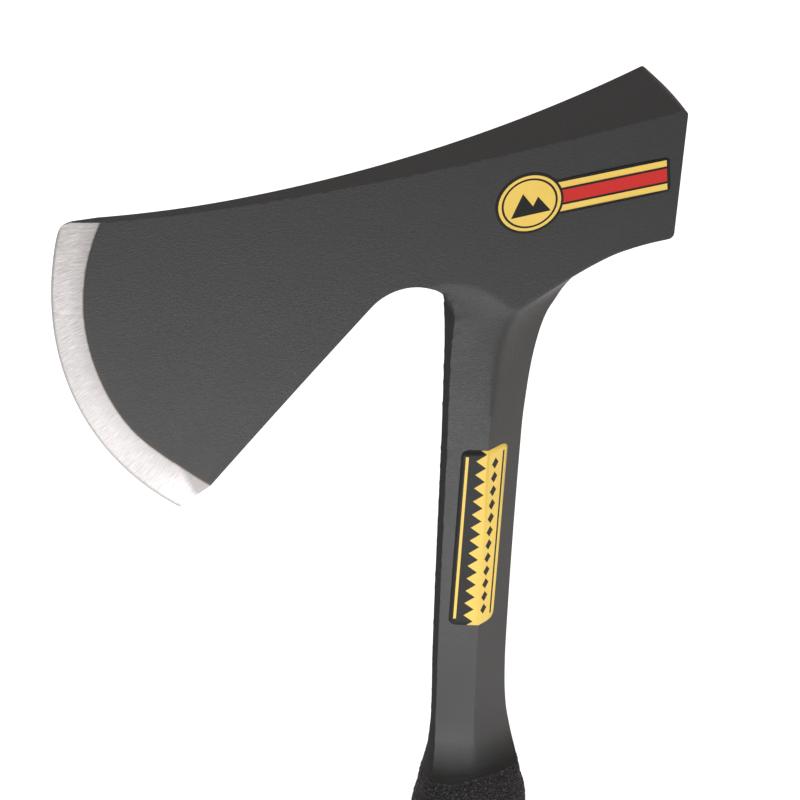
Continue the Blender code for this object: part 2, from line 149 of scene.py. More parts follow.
def cubic(at, values, slope, where):
    """Rows read off cubic pieces, each of which has its two ends' values and slopes."""
    i = np.clip(np.searchsorted(at, where, side="right") - 1, 0, len(at) - 2)
    span = (at[i + 1] - at[i])[:, None]
    t = (where - at[i])[:, None] / span
    return (
        (1 + 2 * t) * (1 - t) ** 2 * values[i]
        + t * (1 - t) ** 2 * span * slope[i]
        + t * t * (3 - 2 * t) * values[i + 1]
        + t * t * (t - 1) * span * slope[i + 1]
    )


def track(stations, where):
    """Columns of a station table at given places: cubic pieces between rows, by the table's first column."""
    stations = np.asarray(stations, float)
    where = np.clip(np.asarray(where, float), stations[0, 0], stations[-1, 0])
    at, values = stations[:, 0], stations[:, 1:]
    return cubic(at, values, slopes(at, values), where)


def distance_along(points):
    """How far along a polyline each of its points is."""
    return np.r_[0, np.cumsum(np.linalg.norm(np.diff(points, axis=0), axis=1))]


def spline(points, count):
    """Points evenly spaced along a smooth curve through given points."""
    points = np.asarray(points, float)
    chord = distance_along(points)
    fine = np.linspace(0, chord[-1], 40 * len(points))
    return even(cubic(chord, points, np.gradient(points, chord, axis=0), fine), count)


def even(points, count):
    """The same polyline with count points at even distances along it."""
    points = np.asarray(points, float)
    along = distance_along(points)
    where = np.linspace(0, along[-1], count)
    return np.stack([np.interp(where, along, column) for column in points.T], axis=1)


def arc(x, drop, radius, start, end, count):
    """Points (x, drop) along a circle, from one angle to another in degrees, turning from +X towards up."""
    angle = np.radians(np.linspace(start, end, count))
    return np.stack([x + radius * np.cos(angle), drop - radius * np.sin(angle)], axis=1)


def noise(u, v, cell, seed, period=256):
    """Smooth random heights from -1 to 1, repeating in u: a square lattice's values joined by smoothstep."""
    table = np.random.default_rng(seed).uniform(-1, 1, (period, 256))
    a, b = np.asarray(u, float) / cell, np.asarray(v, float) / cell
    i, j = np.floor(a).astype(int), np.floor(b).astype(int)
    s, t = a - i, b - j
    s, t = s * s * (3 - 2 * s), t * t * (3 - 2 * t)
    i0, i1, j0, j1 = i % period, (i + 1) % period, j % 256, (j + 1) % 256
    low = table[i0, j0] * (1 - s) + table[i1, j0] * s
    high = table[i0, j1] * (1 - s) + table[i1, j1] * s
    return low * (1 - t) + high * t


def ruled(first, last, count):
    """A grid of straight lines from each point of one curve to the same point of another, a row for each."""
    t = np.linspace(0, 1, count)[None, :, None]
    return first[:, None, :] * (1 - t) + last[:, None, :] * t


def for_each(points, values, default):
    """One value for each point of a grid: the values given, or a default."""
    if values is None:
        return np.full(points[..., 0].size, default)
    return np.asarray(values, float).reshape(-1)


def as_piece(name, mesh, materials, sharp):
    """Makes a finished mesh an object: smooth, but sharp at edges from so many degrees."""
    for material in materials:
        mesh.materials.append(material)
    mesh.shade_smooth()
    mesh.set_sharp_from_angle(angle=math.radians(sharp))
    piece = bpy.data.objects.new(name, mesh)
    bpy.context.scene.collection.objects.link(piece)
    return piece


class Skin:
    """Collects grids of points into one mesh, with a material and two surface coordinates for each grid."""

    NO_LINE = 9.0  # distance in millimetres, too far from an edge to carry its paint line

    def __init__(self):
        self.points, self.faces, self.slots, self.flat, self.lines, self.softness = [], [], [], [], [], []
        self.count = 0

    def grid(self, points, slot=0, flat=None, line=None, soft=None, around=False):
        """Adds a grid shaped (rows, columns, 3), in millimetres.

        flat gives each point two surface coordinates, and line its distance from an edge with a paint line.
        soft, from 0 to 1, says how much a point may be smoothed.
        around joins the last column to the first.
        """
        rows, columns = points.shape[:2]
        index = self.count + np.arange(rows * columns).reshape(rows, columns)
        if around:
            index = np.hstack([index, index[:, :1]])
        a, b, c, d = index[:-1, :-1], index[:-1, 1:], index[1:, 1:], index[1:, :-1]
        quads = np.stack([a, b, c, d], axis=-1).reshape(-1, 4)
        self.points.append(points.reshape(-1, 3))
        self.faces.append(quads)
        self.slots.append(np.full(len(quads), slot))
        self.flat.append((points[..., ::2] if flat is None else flat).reshape(-1, 2))
        self.lines.append(for_each(points, line, self.NO_LINE))
        self.softness.append(for_each(points, soft, 0.0))
        self.count += rows * columns

    def build(self, name, materials, weld=2e-6, sharp=30.0):
        """Makes the object.

        The grids' shared edges are welded, open ends are closed, edges of no length go, and every face is
        turned outwards. Then the soft points are smoothed.
        """
        points, faces = np.vstack(self.points) * MM, np.vstack(self.faces)
        mesh = bpy.data.meshes.new(name)
        mesh.vertices.add(len(points))
        mesh.vertices.foreach_set("co", points.ravel())
        mesh.loops.add(faces.size)
        mesh.loops.foreach_set("vertex_index", faces.ravel())
        mesh.polygons.add(len(faces))
        mesh.polygons.foreach_set("loop_start", np.arange(0, faces.size, 4))
        mesh.polygons.foreach_set("material_index", np.concatenate(self.slots).astype(np.int32))
        flat = mesh.uv_layers.new(name="flat")
        flat.uv.foreach_set("vector", (np.vstack(self.flat)[faces.ravel()] * MM).ravel())
        for key, values in (("line", self.lines), ("soft", self.softness)):
            attribute = mesh.attributes.new(key, "FLOAT", "POINT")
            attribute.data.foreach_set("value", np.concatenate(values))
        mesh.update(calc_edges=True)
        edit = bmesh.new()
        edit.from_mesh(mesh)
        bmesh.ops.remove_doubles(edit, verts=edit.verts[:], dist=weld)
        open_edges = [e for e in edit.edges if e.is_boundary]
        if open_edges:
            bmesh.ops.holes_fill(edit, edges=open_edges, sides=0)
        bmesh.ops.dissolve_degenerate(edit, edges=edit.edges[:], dist=weld / 4)
        bmesh.ops.recalc_face_normals(edit, faces=edit.faces[:])
        edit.to_mesh(mesh)
        edit.free()
        relax(mesh, "soft", 14)
        return as_piece(name, mesh, materials, sharp)


def relax(mesh, attribute, times):
    """Moves each point towards the mean of its neighbours, as far as its attribute from 0 to 1 says."""
    count = len(mesh.vertices)
    points = np.empty(count * 3, np.float32)
    mesh.vertices.foreach_get("co", points)
    points = points.reshape(-1, 3).astype(float)
    ends = np.empty(len(mesh.edges) * 2, np.int32)
    mesh.edges.foreach_get("vertices", ends)
    start, end = ends.reshape(-1, 2).T
    weight = np.empty(count, np.float32)
    mesh.attributes[attribute].data.foreach_get("value", weight)
    degree = np.bincount(ends, minlength=count)[:, None]
    for _ in range(times if weight.any() else 0):
        total = np.zeros_like(points)
        np.add.at(total, start, points[end])
        np.add.at(total, end, points[start])
        points += 0.5 * weight[:, None] * (total / degree - points)
    mesh.vertices.foreach_set("co", points.ravel())
    mesh.update()


# ------------------------------------------------------------ the forging's lines

EDGE_CENTRE = np.array([-22.7, 37.5])         # x and drop
CHEEK_FLAT_X = -110.0
CHEEK_POWER = 2.2
TOP_LOW = (-70.0, 12.8)                       # lowest point of the hollow top line, as x and drop
TOP_BEND = (0.0015, 0.00092)                  # parabola factors towards the blade and towards the poll
ARCH_TOP_DROP = 46.0
BEARD_SLOPE = 1.11                            # drop per x along the blade's underside, up to the bevel
TIP_SLOPE = 1.05                              # the same from the arch straight to the edge's lower tip
NECK_FRONT_X = -11.6
POLL_HEIGHT = 40.2
POLL_RADII = (1.9, 1.5)                       # bottom and top corner
POLL_UNDERSIDE = (41.8, 40.9)                 # x and drop of a point between the rear facet and the corner
RIM_START_DEGREES = 69.0                      # where the facet's crease leaves the arch
TOE = ((-117.3, 13.0), (-116.6, 11.3), (-115.2, 10.25))  # x and drop of points round the toe
TOE_TOP_X = -113.4                            # where the toe's rounding reaches the top line
TOE_DEGREES = (166.5, 168.0)                  # the edge's arc ends between these, about its centre
OVER_X = (-20.0, 36.0)                        # here the top line's points stand over the lower side's
LEFT_PULL, RIGHT_PULL = 62.0, 8.0             # how far in from its ends the cheek's grid follows them

# Points along the cheek's lower side: underside, arch, front crease, rear crease and the poll's underside
BEARD, ARCH, FRONT, REAR, POLL = 56, 22, 30, 38, 14
CREASE = BEARD + ARCH - 2                     # column of the cheek's grid where the front crease starts
CHEEK_ROWS = 100
BEVEL_COLUMNS = 16
FACET_COLUMNS = 13
ACROSS = 9                                    # points across the thickness, where the two sides are joined
UNDER_GRIP = 11.0                             # the steel's surface runs this far down inside the grip
CREASE_SOFT = 3.5                             # distance over which a softened crease fades
LAND_PLACE = (40.0, 0.4)                      # surface coordinates of the thin land round the bevel
PAINT, STEEL, FLASH = 0, 1, 2                 # the forging's materials

# Inner line of the ground bevel: angle about the edge's centre, and radius
BEVEL_LINE = ((162.0, 88.0), (166.0, 88.8), (172.0, 89.6), (181.0, 90.0), (196.0, 89.5), (206.0, 88.9),
              (215.0, 87.5), (221.0, 86.8), (229.0, 87.0))
# Creases between the cheek and the neck's facets, as (x, drop); they meet over the neck's ridge
FRONT_CREASE = ((-17.2, 46.6), (-13.5, 46.9), (-10.0, 47.9), (-3.7, 51.5), (1.0, 55.2), (4.5, 60.0))
REAR_CREASE = ((4.5, 60.0), (8.0, 57.9), (14.6, 53.6), (21.0, 49.5), (28.0, 45.6), (32.5, 43.4),
               (37.5, 41.8))
# Back line of the rear facet from the rear crease's end down to the neck, as (x, half thickness, drop)
SHOULDER = ((31.0, 8.7, 44.3), (25.8, 6.1, 48.7), (22.5, 4.1, 53.5), (20.6, 2.8, 57.4), (19.5, 2.3, 60.0))
# The neck's hexagon and its flare: drop, front x and half, ridge x and half, rear x and half, roundness
NECK = (
    (60.0, -11.62, 4.00, 4.5, 7.06, 19.5, 2.3, 0.00),
    (65.0, -11.60, 3.30, 2.4, 6.72, 16.9, 2.0, 0.00),
    (71.0, -11.60, 2.70, 1.0, 6.55, 15.1, 2.0, 0.00),
    (81.0, -11.60, 2.35, 0.1, 6.45, 13.4, 2.0, 0.00),
    (91.0, -11.55, 2.30, -0.2, 6.45, 12.5, 2.0, 0.00),
    (104.0, -11.50, 2.30, -0.3, 6.45, 11.8, 2.0, 0.00),
    (160.0, -11.65, 2.30, -0.3, 6.45, 11.35, 2.0, 0.00),
    (191.0, -11.60, 2.25, -0.2, 6.45, 11.5, 2.0, 0.00),
    (206.0, -11.40, 2.10, 0.0, 6.50, 12.0, 2.0, 0.02),
    (217.0, -11.35, 2.00, 0.1, 6.75, 12.9, 2.1, 0.06),
    (230.0, -11.70, 2.70, 0.4, 7.60, 15.1, 3.0, 0.22),
    (241.0, -13.30, 4.00, 0.9, 8.90, 17.7, 5.0, 0.55),
    (247.0, -14.30, 5.00, 1.3, 9.60, 18.9, 6.0, 0.80),
    (253.0, -14.70, 5.60, 1.6, 10.00, 19.5, 6.4, 1.00),
    (262.0, -15.50, 6.00, 1.8, 10.60, 20.4, 6.8, 1.00),
)
OVAL_SWELL = 1.02                             # an oval's half thickness over the hexagon's
# The grip: share of its length from the butt, middle x, half width and half thickness
GRIP = (
    (0.000, -3.6, 22.2, 11.6),
    (0.010, -3.8, 23.4, 12.7),
    (0.050, -3.6, 23.6, 13.2),
    (0.100, -2.2, 21.4, 13.1),
    (0.170, -0.2, 18.4, 12.8),
    (0.260, 1.0, 16.8, 12.8),
    (0.400, 1.6, 16.4, 13.0),
    (0.560, 2.0, 16.4, 12.9),
    (0.700, 2.4, 17.2, 12.8),
    (0.800, 2.7, 18.6, 12.5),
    (0.880, 2.7, 19.5, 12.0),
    (0.935, 2.6, 18.8, 11.3),
    (0.970, 2.5, 17.8, 10.6),
    (1.000, 2.4, 16.9, 10.0),
)


def cheek_half(x):
    """Half thickness of the head: constant behind the bevel, then a power curve that swells to the poll."""
    swell = np.clip((np.asarray(x, float) - CHEEK_FLAT_X) / (POLL_X - CHEEK_FLAT_X), 0.0, None)
    blade_half = set_size("axe_head", "blade_half")
    return blade_half + (POLL_HALF - blade_half) * swell**CHEEK_POWER


def top_drop(x):
    """Drop of the top line: two parabolas that share their lowest point."""
    x = np.asarray(x, float)
    return TOP_LOW[1] - np.where(x < TOP_LOW[0], TOP_BEND[0], TOP_BEND[1]) * (x - TOP_LOW[0]) ** 2


def solid(flat, half, side):
    """Points (x, drop) and their half thickness as points in space, on the near (-1) or far (1) side."""
    half = np.broadcast_to(half, flat.shape[:-1])
    return np.stack([flat[..., 0], side * half, HEAD_TOP - flat[..., 1]], axis=-1)


def lift(facet, side):
    """Rows of (x, half, drop) as points in space."""
    return solid(facet[..., ::2], facet[..., 1], side)


def meets_beard(radius, slope=BEARD_SLOPE):
    """Where a line from the arch down the blade's underside crosses a circle about the edge's centre."""
    start = beard_start()
    u, v = start - EDGE_CENTRE
    a = 1 + slope**2
    b = 2 * (slope * v - u)
    t = (-b + math.sqrt(b * b - 4 * a * (u * u + v * v - radius**2))) / (2 * a)
    return start + t * np.array([-1.0, slope])


def meets_top(radius):
    """Where the top line crosses a circle about the edge's centre, as (x, drop)."""
    x = np.linspace(-95.0, -118.0, 400)
    reach = np.hypot(x - EDGE_CENTRE[0], top_drop(x) - EDGE_CENTRE[1])
    x = np.interp(radius, reach, x)
    return np.array([x, top_drop(x)])


def arch_centre():
    """Centre of the arch, as (x, drop), and its radius: the arch is tangent to the neck's front."""
    radius = set_size("axe_head", "arch_radius")
    return np.array([NECK_FRONT_X - radius, ARCH_TOP_DROP + radius]), radius


def beard_start():
    """Where the straight underside leaves the arch, as (x, drop)."""
    centre, radius = arch_centre()
    tilt = math.atan(BEARD_SLOPE)
    return centre - radius * np.array([math.sin(tilt), math.cos(tilt)])


def polar(degrees, radius):
    """Points (x, drop) at angles and radii about the edge's centre."""
    angle = np.radians(degrees)
    x, drop = EDGE_CENTRE
    return np.stack([x + radius * np.cos(angle), drop - radius * np.sin(angle)], axis=-1)


def bearing(point):
    """Angle of a point (x, drop) about the edge's centre, in degrees."""
    x, drop = EDGE_CENTRE
    return math.degrees(math.atan2(drop - point[1], point[0] - x)) % 360


def bevel_lines():
    """Inner and outer line of the ground bevel, from heel to toe, and the radius of the cutting edge.

    The inner line's radius comes from its table. The outer line is the edge's arc and then the rounded toe.
    """
    heel, toe = meets_beard(BEVEL_LINE[-1][1]), meets_top(BEVEL_LINE[0][1])
    degrees = np.linspace(bearing(heel), bearing(toe), 200)
    inner = even(polar(degrees, track(BEVEL_LINE, degrees)[:, 0]), CHEEK_ROWS)
    inner[0], inner[-1] = heel, toe
    edge_radius = set_size("axe_head", "edge_radius")
    tip = meets_beard(edge_radius, TIP_SLOPE)
    edge = polar(np.linspace(bearing(tip), TOE_DEGREES[0], 200), edge_radius)
    toe_start = polar(np.array(TOE_DEGREES), edge_radius)[1]
    corner = spline([toe_start, *TOE, (TOE_TOP_X, float(top_drop(TOE_TOP_X)))], 30)[6:]
    return inner, even(np.vstack([edge, corner]), CHEEK_ROWS), edge_radius


def bottom_line():
    """Lower boundary of the cheek as (x, drop): underside, arch, both creases and the poll's underside."""
    centre, radius = arch_centre()
    heel = meets_beard(BEVEL_LINE[-1][1])
    parts = [
        ruled(heel[None], beard_start()[None], BEARD)[0],
        arc(*centre, radius, 90 + math.degrees(math.atan(BEARD_SLOPE)), RIM_START_DEGREES, ARCH),
        spline([rim_start(), *FRONT_CREASE], FRONT),
        spline(REAR_CREASE, REAR),
        spline([REAR_CREASE[-1], POLL_UNDERSIDE, (POLL_X - POLL_RADII[0], POLL_HEIGHT)], POLL),
    ]
    return np.vstack([parts[0]] + [part[1:] for part in parts[1:]])


def rim_start():
    """Where the front crease leaves the arch's rim, as (x, drop)."""
    centre, radius = arch_centre()
    return arc(*centre, radius, RIM_START_DEGREES, RIM_START_DEGREES, 1)[0]


def cheek_grid():
    """The cheek as (x, drop): a surface stretched between its four sides.

    Each point is the mean of the lower and upper side at its share of the way, plus what the two ends add,
    and the ends' part fades with distance from them.
    """
    bottom = bottom_line()
    x = bottom[:, 0]
    toe = meets_top(BEVEL_LINE[0][1])
    low_radius, high_radius = POLL_RADII
    top_x = np.interp(x, [x[0], *OVER_X, x[-1]], [toe[0], *OVER_X, POLL_X - high_radius])
    top = np.stack([top_x, top_drop(top_x)], axis=1)
    v = np.linspace(0, 1, CHEEK_ROWS)[:, None, None]
    field = (1 - v) * bottom[None] + v * top[None]
    left, _, _ = bevel_lines()
    right = even(np.vstack([
        arc(POLL_X - low_radius, POLL_HEIGHT - low_radius, low_radius, -90, 0, 12),
        arc(POLL_X - high_radius, top_drop(top_x[-1]) + high_radius, high_radius, 0, 90, 10),
    ]), CHEEK_ROWS)
    from_left = np.clip((x - x[0]) / LEFT_PULL, 0, 1)
    from_right = np.clip((x[-1] - x) / RIGHT_PULL, 0, 1)
    add_left = (left - field[:, 0])[:, None, :] * ((1 - from_left) ** 2)[None, :, None]
    add_right = (right - field[:, -1])[:, None, :] * ((1 - from_right) ** 2)[None, :, None]
    return field + add_left + add_right


def neck_hexagon(drop):
    """Corners of one side of the neck's section as (x, half), front, ridge and rear, and its roundness."""
    row = track(NECK, drop)
    return np.stack([row[:, 0:2], row[:, 2:4], row[:, 4:6]], axis=1), row[:, 6]


def oval(corners, angle):
    """Superellipse as wide as a hexagon and a little thicker, at given angles: (rows, points, 2)."""
    low, high = corners[:, 0, 0], corners[:, 2, 0]
    half = corners[:, 1, 1] * OVAL_SWELL
    bend = 2.0 / bpy.context.scene.axe_grip.section_power
    cos, sin = np.cos(angle), np.sin(angle)
    x = ((low + high) / 2)[:, None] + ((high - low) / 2)[:, None] * np.sign(cos) * np.abs(cos) ** bend
    y = half[:, None] * np.sign(sin) * np.abs(sin) ** bend
    return np.stack([x, y], axis=-1)


def hexagon_walk(corners, where):
    """Points (x, y) around the whole section.

    where runs from 0 to 6 over the front flat, the near front and rear facets, the back flat, and the far
    rear and front facets.
    """
    front, ridge, rear = corners[:, 0], corners[:, 1], corners[:, 2]
    near, far = np.array([1.0, -1.0]), np.array([1.0, 1.0])
    walk = (front * far, front * near, ridge * near, rear * near, rear * far, ridge * far, front * far)
    ring = np.stack(walk, axis=1)
    i = np.clip(np.floor(where).astype(int), 0, 5)
    t = (where - i)[None, :, None]
    return ring[:, i] * (1 - t) + ring[:, i + 1] * t


def neck_ring(drop, where):
    """The neck's section and the angle of each of its points.

    The section is a hexagon that is blended, by its roundness, into an oval of the same width.
    """
    corners, roundness = neck_hexagon(drop)
    straight = hexagon_walk(corners, where)
    middle = ((corners[:, 0, 0] + corners[:, 2, 0]) / 2)[:, None]
    half_width = ((corners[:, 2, 0] - corners[:, 0, 0]) / 2)[:, None]
    half = corners[:, 1, 1][:, None]
    angle = np.arctan2(straight[..., 1] / half, (straight[..., 0] - middle) / half_width)
    return straight + roundness[:, None, None] * (oval(corners, angle) - straight), angle


# ------------------------------------------------------------ materials


SKIN_FADE = (21.0, 7.0)  # millimetres above the grip's rim where the vinyl's skin starts and covers fully


class Link:
    """A socket that can be used in sums: each operator adds the Math node for it."""

    def __init__(self, tree, socket):
        self.tree, self.socket = tree, socket

    def _math(self, operation, *values):
        return self.tree.node("ShaderNodeMath", {"operation": operation}, values)

    def __add__(self, other):
        return self._math("ADD", self, other)

    def __sub__(self, other):
        return self._math("SUBTRACT", self, other)

    def __rsub__(self, other):
        return self._math("SUBTRACT", other, self)

    def __mul__(self, other):
        return self._math("MULTIPLY", self, other)

    __radd__, __rmul__ = __add__, __mul__


class Tree:
    """Adds nodes to a node tree."""

    def __init__(self, node_tree):
        self.nodes, self.links = node_tree.nodes, node_tree.links

    def put(self, socket, value):
        """Gives a socket a value, or a link."""
        if isinstance(value, Link):
            self.links.new(value.socket, socket)
        elif hasattr(socket.default_value, "__len__") and len(socket.default_value) == 4:
            socket.default_value = (*value, 1.0)[:4]
        else:
            socket.default_value = value

    def node(self, kind, settings=None, inputs=(), output=0):
        """Adds a node: its settings first, then its sockets' values or links, by name or in order."""
        made = self.nodes.new(kind)
        for key, value in (settings or {}).items():
            if key == "stops":
                ramp = made.color_ramp.elements
                while len(ramp) < len(value):
                    ramp.new(0.5)
                for stop, (at, grey) in zip(ramp, value):
                    stop.position = at
                    stop.color = (grey, grey, grey, 1.0)
            else:
                setattr(made, key, value)
        items = inputs.items() if isinstance(inputs, dict) else enumerate(inputs)
        for key, value in items:
            self.put(made.inputs[key], value)
        return Link(self, made.outputs[output])

    def mix(self, factor, first, second):
        """Blends two colours."""
        return self.node("ShaderNodeMix", {"data_type": "RGBA"}, {0: factor, 6: first, 7: second}, 2)


class Shader(Tree):
    """A material and its nodes."""

    def __init__(self, name, roughness, metallic=0.0, specular=0.5):
        self.material = bpy.data.materials.new(name)
        self.material.use_nodes = True
        super().__init__(self.material.node_tree)
        self.main = self.nodes["Principled BSDF"]
        self.set("Roughness", roughness)
        self.set("Metallic", metallic)
        self.set("Specular IOR Level", specular)

    def set(self, name, value):
        """Sets one of the main shader's sockets."""
        self.put(self.main.inputs[name], value)

    def place(self, scale=(1.0, 1.0, 1.0), turn=(0.0, 0.0, 0.0)):
        """Object coordinates, turned and scaled."""
        where = self.node("ShaderNodeTexCoord", output="Object")
        return self.node("ShaderNodeMapping", inputs={"Vector": where, "Scale": scale, "Rotation": turn})

    def flat(self, scale=(1.0, 1.0, 1.0)):
        """The piece's own surface coordinates, in metres, scaled."""
        where = self.node("ShaderNodeUVMap", {"uv_map": "flat"})
        return self.node("ShaderNodeMapping", inputs={"Vector": where, "Scale": scale})

    def part(self, vector, letter):
        """One coordinate of a vector."""
        return self.node("ShaderNodeSeparateXYZ", inputs=(vector,), output=letter)

    def painted_line(self):
        """The mesh's line attribute."""
        return self.node("ShaderNodeAttribute", {"attribute_name": "line"}, output="Fac")

    def noise(self, where, scale, detail=3.0, rough=0.5):
        """Cloud-like values near 0.5."""
        return self.node("ShaderNodeTexNoise", inputs={
            "Vector": where, "Scale": scale, "Detail": detail, "Roughness": rough})

    def cells(self, where, scale):
        """Distance to the nearest of many scattered points."""
        return self.node("ShaderNodeTexVoronoi", {"feature": "F1"}, {"Vector": where, "Scale": scale})

    def ramp(self, value, stops):
        """Turns a number into a grey."""
        return self.node("ShaderNodeValToRGB", {"stops": stops}, (value,))

    def bump(self, height, distance, strength=1.0):
        """A normal that follows a height."""
        return self.node("ShaderNodeBump", inputs={
            "Height": height, "Distance": distance, "Strength": strength})

    def skin(self):
        """Covers the finish near the grip with a dull dark skin that has fine ripples.

        The skin fades in down the neck, between two heights above the grip's rim.
        """
        where = self.place((130.0, 130.0, 1300.0), (0.0, 0.06, 0.0))
        ripples = self.noise(where, 1.0, 2.0)
        normal = self.bump(ripples, 0.00025, 0.8)
        dull = self.node("ShaderNodeBsdfPrincipled", inputs={
            "Base Color": self.mix(ripples, (0.003, 0.003, 0.003), (0.012, 0.0115, 0.011)),
            "Roughness": 0.6, "Specular IOR Level": 0.08, "Normal": normal})
        rim = HEAD_TOP - GRIP_TOP_DROP
        start, full = SKIN_FADE
        lead = self.node("ShaderNodeMapRange", inputs={
            "Value": self.part(self.place(), "Z"), "From Min": (rim + start) * MM,
            "From Max": (rim + full) * MM})
        finish = Link(self, self.main.outputs[0])
        both = self.node("ShaderNodeMixShader", inputs={0: lead, 1: finish, 2: dull})
        self.put(self.nodes["Material Output"].inputs["Surface"], both)


def paint_material():
    """Matte black paint: a fine grain, faint mottling, and a thin dark line of paint along marked edges.

    Above the grip it fades into the smooth, dull skin that the vinyl leaves on the steel.
    """
    looks = bpy.context.scene.axe_finish
    shader = Shader("black_paint", looks.paint_roughness, specular=looks.paint_shine)
    where = shader.place()
    mottle = shader.noise(where, 38.0, 4.0, 0.6)
    fine = shader.noise(where, 1500.0, 3.0, 0.7)
    streaks = shader.noise(shader.place((800.0, 1300.0, 2200.0), (0.0, 0.12, 0.0)), 1.0, 3.0, 0.65)
    paint = Vector(looks.paint)
    tone = shader.mix(mottle * 0.4 + streaks * 0.6, paint * 0.35, paint * 1.65)
    edge = shader.painted_line()
    wander = shader.noise(where, 150.0, 2.0, 0.5)
    near = shader.node("ShaderNodeMath", {"operation": "LESS_THAN"}, (edge, 0.08 + wander * 0.42))
    shader.set("Base Color", shader.mix(near * 0.75, tone, (0.003, 0.003, 0.003)))
    uneven = looks.paint_roughness + (mottle - 0.5) * 0.16 + (streaks - 0.5) * 0.34
    shader.set("Roughness", uneven + near * 0.12)
    shader.set("Normal", shader.bump(fine * 0.8 + streaks, 0.00009, 0.7))
    shader.skin()
    return shader.material


def flash_material():
    """The neck's front flat, where the forging's flash was trimmed off: dull, dark and uneven."""
    shader = Shader("trimmed_flash", 0.8, specular=0.10)
    cloud = shader.noise(shader.place((1.0, 1.0, 0.35)), 260.0, 4.0, 0.65)
    paint = Vector(bpy.context.scene.axe_finish.paint)
    shader.set("Base Color", shader.mix(cloud, paint * 0.45, paint * 1.1))
    shader.set("Roughness", 0.62 + cloud * 0.3)
    shader.set("Normal", shader.bump(cloud, 0.00025, 0.6))
    shader.skin()
    return shader.material


def ground_steel_material():
    """Bare ground steel: scratches across the edge, cloudy brightness, heat tint along the inner line, and
    painted shade.

    Surface coordinate X runs along the edge in millimetres, and Y from 0 at the edge to 1 at the inner line.
    """
    looks = bpy.context.scene.axe_finish
    shader = Shader("ground_steel", 0.34, 1.0)
    # lines run from the inner side to the edge, and lean a little
    lean = shader.node("ShaderNodeMapping", inputs={
        "Vector": shader.flat((1.0, 9.5, 1.0)), "Rotation": (0.0, 0.0, 0.42)})
    fine = shader.node("ShaderNodeMapping", inputs={"Vector": lean, "Scale": (3800.0, 230.0, 1.0)})
    scratches = shader.noise(fine, 1.0, 4.0, 0.75)
    wide = shader.node("ShaderNodeMapping", inputs={"Vector": lean, "Scale": (900.0, 160.0, 1.0)})
    broad = shader.noise(wide, 1.0, 3.0)
    flat = shader.flat((1000.0, 1000.0, 1.0))
    along, inward = shader.part(flat, "X"), shader.part(flat, "Y")
    wander = shader.noise(shader.flat((700.0, 300.0, 1.0)), 1.0, 3.0, 0.7)
    heat = shader.ramp(inward + (wander - 0.5) * 0.05, ((0.945, 0.0), (0.975, 0.5), (1.0, 1.0)))
    # a small second facet near the heel shown as a darker patch, painted shade on a strip by the very edge,
    # painted shade that darkens the steel below the middle, and darker towards the inner line
    heel = shader.ramp(inward - along * 0.036 + (wander - 0.5) * 0.12, ((0.44, 0.0), (0.60, 1.0)))
    rim = shader.ramp(inward + (wander - 0.5) * 0.05, ((0.0, 1.0), (0.03, 0.9), (0.09, 0.0)))
    inner = shader.ramp(inward + (wander - 0.5) * 0.2, ((0.50, 0.0), (1.0, 1.0)))
    low = shader.ramp(along * 0.01, ((0.06, 0.0), (0.16, 1.0), (0.62, 1.0), (0.86, 0.0)))
    steel = Vector(looks.steel)
    tone = shader.mix(shader.ramp(scratches, ((0.32, 0.0), (0.68, 1.0))), steel * 0.56, steel * 1.55)
    tone = shader.mix(shader.ramp(broad, ((0.36, 0.0), (0.74, 1.0))) * 0.45, tone, steel * 1.12)
    # these masks darken the steel's colour: painted shade below the middle and by the very edge
    for mask, weight, level in ((low, 0.40, 0.50), (inner, 0.45, 0.45), (heel, 0.75, 0.46), (rim, 0.8, 0.42)):
        tone = shader.mix(mask * weight, tone, steel * level)
    shader.set("Base Color", shader.mix(heat * 0.85, tone, looks.tint))
    shader.set("Roughness", 0.36 + scratches * 0.14 + heat * 0.12)
    shader.set("Normal", shader.bump(scratches, 0.00006, 0.6))
    return shader.material


def vinyl_material():
    """Moulded vinyl: coarse lumps with fine grain on them, with painted highlight on the raised grain and
    painted shade in the hollows between the lumps.
    """
    shader = Shader("grip_vinyl", 0.62, specular=0.16)
    where = shader.place()
    lumps = shader.cells(where, 1200.0)
    fine = shader.noise(where, 1300.0, 3.0, 0.7)
    cloud = shader.noise(where, 60.0, 3.0)
    grain = shader.painted_line()
    vinyl = Vector(bpy.context.scene.axe_finish.vinyl)
    tone = shader.mix(cloud, vinyl * 0.65, vinyl * 1.05)
    # painted highlight: specks where the fine grain stands out are painted lighter
    painted_speck_highlight = shader.ramp(fine, ((0.48, 0.0), (0.62, 1.0)))
    painted_pit_shade = shader.ramp(lumps, ((0.26, 0.0), (0.58, 1.0)))
    # painted shade: the hollows between the lumps are painted darker
    tone = shader.mix(painted_speck_highlight * 0.8, tone, vinyl * 5.6)
    shader.set("Base Color", shader.mix(painted_pit_shade * 0.85, tone, vinyl * 0.15))
    shader.set("Roughness", 0.52 + fine * 0.2 + cloud * 0.08)
    shader.set("Normal", shader.bump((lumps * -1.0 + fine * 0.7) * grain, 0.0008))
    return shader.material


def ink_material(name, ink):
    """Printed film: even ink under a satin coat, with a trace of unevenness."""
    shader = Shader(name, 0.36, specular=0.12)
    where = shader.place()
    cloud = shader.noise(where, 90.0, 3.0)
    grain = shader.noise(where, 3000.0, 2.0)
    ink = Vector(ink)
    shader.set("Base Color", shader.mix(cloud, ink * 0.92, [min(c * 1.06, 1.0) for c in ink]))
    shader.set("Roughness", 0.30 + cloud * 0.10 + grain * 0.06)
    shader.set("Normal", shader.bump(grain, 0.00002, 0.25))
    return shader.material


# ------------------------------------------------------------ pieces


